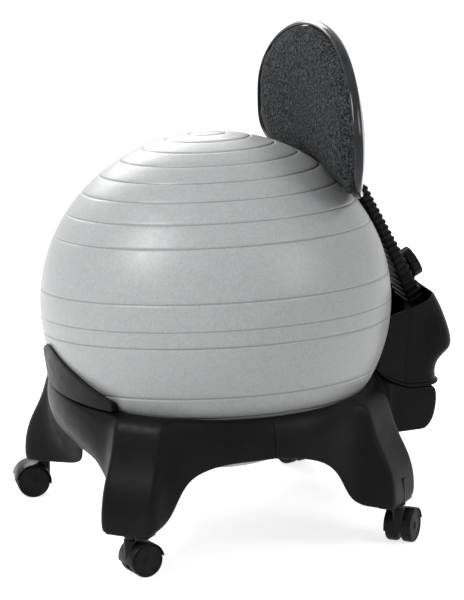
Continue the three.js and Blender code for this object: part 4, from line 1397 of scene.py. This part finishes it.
@dataclass
class Backrest:
    """The oval backrest: a cloth pad in a plated trim, on a board in a dished gloss shell."""

    ball: Ball
    half_width: float = 201.0
    centre: float = 597.0
    rise: float = 140.0
    drop: float = 94.0
    lift: float = 11.0
    edge_y: float = 140.6
    hollow: float = 20.0
    kick: float = 40.0
    kick_from: float = 580.0
    crown: float = 17.0
    pad_edge: float = 6.0
    draw_in: float = 5.0
    trim: float = 8.0
    shell: float = 3.0
    ball_gap: float = 3.0
    round_above: float = 2.0
    round_below: float = 2.9
    shell_rear: float = 15.1
    bar_face: float = 189.1
    steps: int = 128
    # The cloth run: voxel size, its frames and the most that a point may move
    voxel: float = 4.2
    frames: int = 20
    most_swell: float = 5.0
    # Beside the trim the cover is drawn out by a share, between two shares of its reach, up to a last one
    draw_out: float = 0.055
    draw_between: tuple[float, float] = (0.82, 0.945)
    cover_edge: float = 0.999

    def oval(self, turn: float, grow: float) -> tuple[float, float]:
        """A point of the outline, grown outwards by a length. Its foot is lifted over the bar.

        Args:
            turn: the turn about the middle.
            grow: how far out.

        Returns:
            Place across, and height.
        """
        c, s = math.cos(turn), math.sin(turn)
        square = 2 / (self.round_above if s > 0 else self.round_below)
        half = (self.rise if s > 0 else self.drop) + grow
        arch = self.lift * abs(s) ** square * (1 - abs(c) ** (2 * square)) if s < 0 else 0.0
        return ((self.half_width + grow) * math.copysign(abs(c) ** square, c),
                self.centre + half * math.copysign(abs(s) ** square, s) + arch)

    def seam(self, x: float, z: float) -> float:
        """The curved face of the pad's seam: hollow across, kicked back below.

        Args:
            x: the place across.
            z: the height.

        Returns:
            The place along.
        """
        across = min(abs(x) / self.half_width, 1.0)
        low = max(0.0, (self.kick_from - z) / (self.kick_from - self.centre + self.drop))
        return self.edge_y + (self.hollow + self.kick * low * low) * (1 - across * across)

    def ring(self, size: float, grow: float, depth: Callable[[float, float], float]) -> list[Point]:
        """One ring: the outline shrunk by a share, at a depth behind the seam.

        Args:
            size: the share.
            grow: how far the outline is grown first.
            depth: the place along by the place across and the height.

        Returns:
            The ring's points.
        """
        ring = []
        for i in range(self.steps):
            ox, oz = self.oval(i / self.steps * 2 * math.pi, grow)
            x, z = ox * size, self.centre + (oz - self.centre) * size
            ring.append((x, depth(x, z), z))
        return ring

    def pad_front(self, size: float) -> Callable[[float, float], float]:
        """Depth of the pad's front face at a share of the way out, clear of the ball.

        Args:
            size: the share.

        Returns:
            The depth by the place across and the height.
        """
        def depth(x: float, z: float) -> float:
            """The place along: in front of the seam, and behind the ball.

            Args:
                x: the place across.
                z: the height.

            Returns:
                The place along.
            """
            y = self.seam(x, z) - self.crown * (1 - size ** 4)
            if z > self.ball.height + self.ball.radius:
                return y
            return max(y, self.ball.back(x, z) + self.ball_gap)

        return depth

    def build_pad(self) -> None:
        """Models the pad, swells it as cloth and keeps it off the ball and the board."""
        edge = 1 - self.draw_in / self.half_width

        def behind(depth: float) -> Callable[[float, float], float]:
            """A depth behind the seam's face."""
            return lambda x, z: self.seam(x, z) + depth

        sizes = (0.03, 0.12, 0.22, 0.33, 0.44, 0.55, 0.65, 0.74, 0.82, 0.88, 0.93, 0.965)
        rings = [self.ring(size, 0, self.pad_front(size)) for size in sizes]
        rings += [self.ring(0.988, 0, self.pad_front(0.988)), self.ring(1.0, -0.6, behind(0.6)),
                  self.ring(edge * 1.012, -0.4, behind(self.pad_edge / 2))]
        rings += [self.ring(edge * size, 0, behind(self.pad_edge)) for size in (1, 0.92, 0.75, 0.5, 0.25, 0.04)]
        pad = skin("backrest_pad_cloth", rings, End.POINT)
        self.swell(pad)
        pad = subdivide(pad, 1)
        pad = dress(shade(pad, 60), Weave(), "backrest", "pad_fabric", "back_pad")

    def swell(self, pad: Piece) -> None:
        """Lets the pad's cover swell under a little pressure, within a few millimetres.

        Args:
            pad: the closed pad, which keeps its place on the board and off the ball.
        """
        modify(pad, "REMESH", mode="VOXEL", voxel_size=self.voxel * MM, use_smooth_shade=True)
        rest = [v.co.copy() for v in pad.data.vertices]
        activate(pad)
        cloth = pad.modifiers.new("cloth", "CLOTH")
        cloth.settings.quality = 5
        cloth.settings.mass = 0.3
        cloth.settings.tension_stiffness = cloth.settings.compression_stiffness = 15
        cloth.settings.use_pressure = True
        cloth.settings.uniform_pressure_force = 4
        cloth.settings.effector_weights.gravity = 0
        cloth.point_cache.frame_start, cloth.point_cache.frame_end = 1, self.frames
        for number in range(1, self.frames + 1):
            bpy.context.scene.frame_set(number)
        bpy.ops.object.modifier_apply(modifier=cloth.name)
        bpy.context.scene.frame_set(1)
        cap = self.most_swell * MM
        for vertex, old in zip(pad.data.vertices, rest):
            move = vertex.co - old
            if move.length > cap:
                move *= cap / move.length
            vertex.co = old + move
        self.hold(pad)

    def hold(self, pad: Piece) -> None:
        """Keeps the pad's points inside its trim, in front of the board and clear of the ball.

        Args:
            pad: the swollen pad.
        """
        for vertex in pad.data.vertices:
            x, y, z = vertex.co.x / MM, vertex.co.y / MM - AXIS_Y, vertex.co.z / MM
            across = min(abs(x) / self.half_width, 1.0)
            above = z > self.centre
            power = self.round_above if above else self.round_below
            half = self.rise if above else self.drop - self.lift * (1 - across ** 2)
            reach = (across ** power + abs((z - self.centre) / half) ** power) ** (1 / power)
            # The cover is drawn out to the trim, which it shrank away from as it swelled
            wanted = min(reach + self.draw_out * smooth(reach, *self.draw_between), self.cover_edge)
            if reach > 0.5:
                x, z = x / reach * wanted, self.centre + (z - self.centre) / reach * wanted
            y = min(y, self.seam(x, z) + self.pad_edge)
            if z < self.ball.height + self.ball.radius:
                y = max(y, self.ball.back(x, z) + self.ball_gap * 0.7)
            vertex.co = metres((x, y, z))

    def build_trim(self) -> None:
        """Models the plated trim: a rounded band swept round the pad's edge."""
        shares = ((0.0, 0.05), (0.25, -0.01), (0.5, 0.0), (0.75, 0.1), (0.92, 0.28), (1.0, 0.5), (0.96, 0.72),
                  (0.8, 0.9), (0.55, 0.99), (0.3, 1.0), (0.0, 0.98))
        rings = []
        for i in range(self.steps):
            turn = i / self.steps * 2 * math.pi
            ring = []
            for out, down in shares:
                x, z = self.oval(turn, between(0.3, self.trim, out))
                ring.append((x, self.seam(x, z) + self.shell_rear * down, z))
            rings.append(ring)
        trim = subdivide(skin("backrest_trim_band", rings, End.LOOP), 1)
        dress(shade(trim, 60), TRIM_CHROME, "backrest", "trim_chrome", "back_trim")

    def build_shell(self) -> None:
        """Models the gloss shell: dished to the flat place that the bar meets."""
        def outer(size: float) -> Callable[[float, float], float]:
            """The outer face at a share of the way out.

            Args:
                size: the share.

            Returns:
                The face's place along by the place across and the height.
            """
            def depth(x: float, z: float) -> float:
                """The place along, drawn in from the rim to the bar's face."""
                least = self.seam(x, z) + self.shell_rear
                return max(least, between(self.bar_face, least, size ** 3))

            return depth

        sizes = (0.03, 0.12, 0.22, 0.33, 0.44, 0.55, 0.66, 0.76, 0.85, 0.92, 0.97, 0.996)
        rings = [self.ring(size, -0.3, lambda x, z, s=size: outer(s)(x, z) - self.shell) for size in sizes]
        rings += [self.ring(size, -0.3, outer(size)) for size in (1.0, *sizes[::-1])]
        shell = subdivide(skin("backrest_shell_gloss", rings, End.POINT), 1)
        dress(shade(shell, 50), GLOSS_SHELL, "backrest", "shell_plastic", "back_shell")

    def build(self) -> None:
        """Models the backrest's pieces and dresses its board."""
        self.build_pad()
        self.build_trim()
        self.build_shell()
        redress(Plywood(), "back_board")


# ---------------------------------------------------------------- the castors


class Corner(Enum):
    """Where a castor stands, with its turn in degrees in the photograph."""

    FRONT_LEFT = ("front_left", 101)
    FRONT_RIGHT = ("front_right", 262)
    REAR_LEFT = ("rear_left", 139)
    REAR_RIGHT = ("rear_right", 197)


@dataclass
class Castors:
    """Four twin-wheel castors, each with a domed hood, an axle and a swivel stem."""

    ring: Ring
    wheel_radius: float = 25.0
    wheel_width: float = 17.0
    hood_wall: float = 1.8
    web: float = 7.0
    trail: float = 19.0
    barrel: float = 9.0
    barrel_bore: float = 5.9
    barrel_foot: float = 27.5
    barrel_top: float = 57.0
    running: float = 0.6
    axle: float = 3.3
    web_bore: float = 3.4
    boss: float = 8.0
    arc_steps: int = 36

    def wheel(self, name: str, side: int) -> Piece:
        """A wheel with rounded tread edges and a dished disc, beside the web.

        Args:
            name: the wheel's name.
            side: 1 or -1, the side of the web.

        Returns:
            The wheel, for a castor at the world's origin.
        """
        near = self.web / 2 + self.running
        far = near + self.wheel_width - self.running
        r = self.wheel_radius
        profile = [
            (self.axle, near), (r - 2.4, near), (r - 0.9, near + 0.6), (r - 0.1, near + 2), (r, near + 4),
            (r, far - 4), (r - 0.25, far - 2.2), (r - 1.2, far - 0.7), (r - 2.6, far), (r * 0.84, far),
            (r * 0.81, far - 0.9), (r * 0.5, far - 1.2), (r * 0.3, far - 1.0), (r * 0.24, far - 0.4),
            (self.axle, far - 0.4)]
        # A thin cup over the axle's end, clear of it
        cap = [(0.1, far + 0.48), (3.9, far + 0.48), (3.9, far - 0.5), (4.8, far - 0.5), (4.8, far + 0.3),
               (4.3, far + 0.6), (0.1, far + 0.6)]
        wheel = joined(name, [washer(name + "_tyre", profile, 72), turned(name + "_cap", cap, 40)])
        turn = Matrix.Rotation(-math.pi / 2 * side, 4, "X")
        return placed(wheel, Matrix.Translation((self.trail * MM, 0, r * MM)) @ turn)

    def arc(self, radius: float, inner: float, low: float, high: float, half: float, name: str) -> Piece:
        """A curved cover about the axle, between two turns in degrees, its edges rounded.

        Args:
            radius: the outer radius.
            inner: the inner radius.
            low: the first turn.
            high: the last turn.
            half: half its width.
            name: its name.

        Returns:
            The cover.
        """
        rings = []
        for i in range(self.arc_steps + 1):
            turn = math.radians(between(low, high, i / self.arc_steps))
            c, s = math.cos(turn), math.sin(turn)
            section = [(radius, half - 1.2), (radius - 0.5, half), (inner, half)]
            section += [(r, -y) for r, y in section[::-1]]
            rings.append([(self.trail + r * c, y, self.wheel_radius + r * s) for r, y in section])
        return skin(name, rings, End.STRIP, True)

    def hood(self, name: str) -> Piece:
        """The hood over both wheels: a cover, the web between the wheels and the stem's barrel.

        Args:
            name: the hood's name.

        Returns:
            The hood, for a castor at the world's origin.
        """
        inside, half = self.wheel_radius + self.running, self.web / 2
        wide = half + self.running + self.wheel_width
        cover = bevelled(self.arc(inside + self.hood_wall, inside, 10, 190, wide, name + "_cover"), 0.35, 2, 60)
        web = self.arc(inside + 0.6, self.web_bore, 0, 180, half, name + "_web")
        section = [(self.web_bore, -half), (self.boss, -half), (self.boss, half), (self.web_bore, half)]
        boss = washer(name + "_boss", section, 40)
        axle = Matrix.Translation((self.trail * MM, 0, self.wheel_radius * MM))
        placed(boss, axle @ Matrix.Rotation(math.pi / 2, 4, "X"))
        out, bore, foot, top = self.barrel, self.barrel_bore, self.barrel_foot, self.barrel_top
        barrel = washer(name + "_barrel", [
            (bore, foot), (out - 1, foot), (out, foot + 1), (out, top - 1.4), (out - 0.5, top - 0.4),
            (out - 1.4, top), (bore + 0.5, top), (bore, top - 0.6)], 48)
        cheek = block(name + "_cheek", (1.5, 16), half, (26, 49), 0.8)
        return joined(name, [shade(piece, 40) for piece in (cover, web, boss, barrel, cheek)])

    def build(self) -> None:
        """Models one castor's pieces at each corner, turned as in the photograph."""
        for corner, (x, y) in zip(Corner, self.ring.legs()):
            name, turn = corner.value
            place = Matrix.Translation(metres((x, y, 0))) @ Matrix.Rotation(math.radians(turn), 4, "Z")
            hood = placed(self.hood(f"castor_{name}_hood"), place)
            dress(hood, HOOD_PLASTIC, f"castor_{name}", "hood_plastic", f"castor_hood_{name}")
            for side, letter in ((1, "a"), (-1, "b")):
                wheel = shade(placed(self.wheel(f"castor_{name}_wheel_{letter}", side), place), 40)
                dress(wheel, WHEEL_NYLON, f"wheel_{name}_{letter}", "wheel_nylon",
                      f"castor_wheel_{name}_{letter}")
            redress(BLACK_ZINC, f"castor_stem_{name}")
            redress(BLACK_STEEL, f"castor_axle_{name}")


# ---------------------------------------------------------------- the studio


def aimed(name: str, data: bpy.types.ID, place: Vector, way: Vector, roll: float = 0.0) -> Piece:
    """Puts a camera or a lamp in the scene, looking along a way.

    Args:
        name: the new object's name.
        data: the camera or the lamp.
        place: where it stands, in metres.
        way: the way it looks.
        roll: its turn about that way.

    Returns:
        The new object.
    """
    piece = bpy.data.objects.new(name, data)
    bpy.context.scene.collection.objects.link(piece)
    look = way.to_track_quat("-Z", "Y").to_matrix().to_4x4()
    piece.matrix_world = Matrix.Translation(place) @ look @ Matrix.Rotation(roll, 4, "Z")
    return piece


@dataclass
class Studio:
    """A white floor and soft light, and a camera where the photograph's stood."""

    eye: Point = (6324.0, -2206.0, 2217.7)
    aim: Point = (-0.90798, 0.32045, -0.26998)
    roll: float = math.radians(-0.34)
    lens: float = 281.9
    floor_size: float = 12.0
    # Light that the floor adds of its own so that it shows as white as the backdrop
    floor_glow: float = 0.74
    # The world's strength as a light
    soft_light: float = 0.42
    # Each lamp's place and aim in metres, its size in metres and its power in watts
    lamps: tuple[tuple[str, Point, Point, tuple[float, float], float], ...] = (
        ("key", (0.5, -2.6, 2.7), (0, 0, 0.35), (1.3, 1.5), 80),
        ("fill", (2.2, 1.9, 2.0), (0, 0, 0.35), (1.2, 1.6), 24),
        ("back", (-2.2, 0.0, 1.5), (0, 0.1, 0.7), (1.7, 0.8), 30))

    def camera(self) -> None:
        """Sets the camera at the photograph's place, angle and lens."""
        data = bpy.data.cameras.new("camera")
        data.lens = self.lens
        data.sensor_width = 36
        data.clip_start, data.clip_end = 0.1, 100
        bpy.context.scene.camera = aimed("camera", data, metres(self.eye), Vector(self.aim), self.roll)

    def seen(self, tree: Tree) -> Socket:
        """A value that is 1 for the camera's rays, for reflections and through clear things.

        Args:
            tree: the node tree of the floor's material or the world.

        Returns:
            The value.
        """
        rays = add_node(tree, "ShaderNodeLightPath").outputs
        near = add_node(tree, "ShaderNodeMath", {0: rays["Is Camera Ray"], 1: rays["Is Glossy Ray"]},
                        operation="ADD").outputs[0]
        return add_node(tree, "ShaderNodeMath", {0: near, 1: rays["Is Transmission Ray"]},
                        operation="ADD", use_clamp=True).outputs[0]

    def floor(self) -> None:
        """Lays a plain white floor that keeps the chair's shadow."""
        deselect()
        bpy.ops.mesh.primitive_plane_add(size=self.floor_size, location=(0, 0, -0.0002))
        floor = settle(bpy.context.active_object)
        floor.name = "floor"
        material = bpy.data.materials.new("studio paper, white")
        tree = emptied(material)
        paper = add_node(tree, "ShaderNodeBsdfDiffuse", {"Color": hex_rgb("#f2f2f2")}).outputs[0]
        light = add_node(tree, "ShaderNodeEmission", {"Color": hex_rgb("#ffffff"), "Strength": self.floor_glow})
        both = add_node(tree, "ShaderNodeAddShader", {0: paper, 1: light.outputs[0]}).outputs[0]
        mixed = add_node(tree, "ShaderNodeMixShader", {0: self.seen(tree), 1: paper, 2: both})
        add_node(tree, "ShaderNodeOutputMaterial", {"Surface": mixed.outputs[0]})
        floor.data.materials.append(material)
        floor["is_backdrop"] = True

    def world(self) -> None:
        """A world that is white to the camera and to reflections, and softer as a light."""
        world = bpy.data.worlds.new("studio")
        bpy.context.scene.world = world
        tree = emptied(world)
        soft, white = (
            add_node(tree, "ShaderNodeBackground", {"Color": hex_rgb(code), "Strength": strength}).outputs[0]
            for code, strength in (("#f0f0f0", self.soft_light), ("#ffffff", 1.0)))
        mixed = add_node(tree, "ShaderNodeMixShader", {0: self.seen(tree), 1: soft, 2: white})
        add_node(tree, "ShaderNodeOutputWorld", {"Surface": mixed.outputs[0]})

    def build(self) -> None:
        """Sets up the camera, the floor, the world and the lamps."""
        self.camera()
        self.floor()
        self.world()
        for name, place, aim, size, power in self.lamps:
            data = bpy.data.lights.new(name, "AREA")
            data.shape, data.energy = "RECTANGLE", power
            data.size, data.size_y = size
            aimed(name, data, Vector(place), Vector(aim) - Vector(place))
        bpy.context.scene.view_settings.view_transform = "Standard"


def write_sizes() -> None:
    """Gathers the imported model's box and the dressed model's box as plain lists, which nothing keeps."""
    boxes = {"cad": CAD_BOX, "visual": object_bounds()}
    {name: [list(corner) for corner in box] for name, box in boxes.items()}


def main() -> None:
    """Builds the studio and the chair's sub-assemblies in order."""
    logging.basicConfig(level=logging.INFO, format="%(name)s: %(message)s")
    Studio().build()
    ball = Ball()
    ring = Ring(ball)
    bar = BackBar()
    for part in (ball, ring, Guard(ball, ring), Housing(ball, ring), bar, Backrest(ball), Castors(ring)):
        part.build()
    deselect()
    write_sizes()


if __name__ == "__main__":
    main()
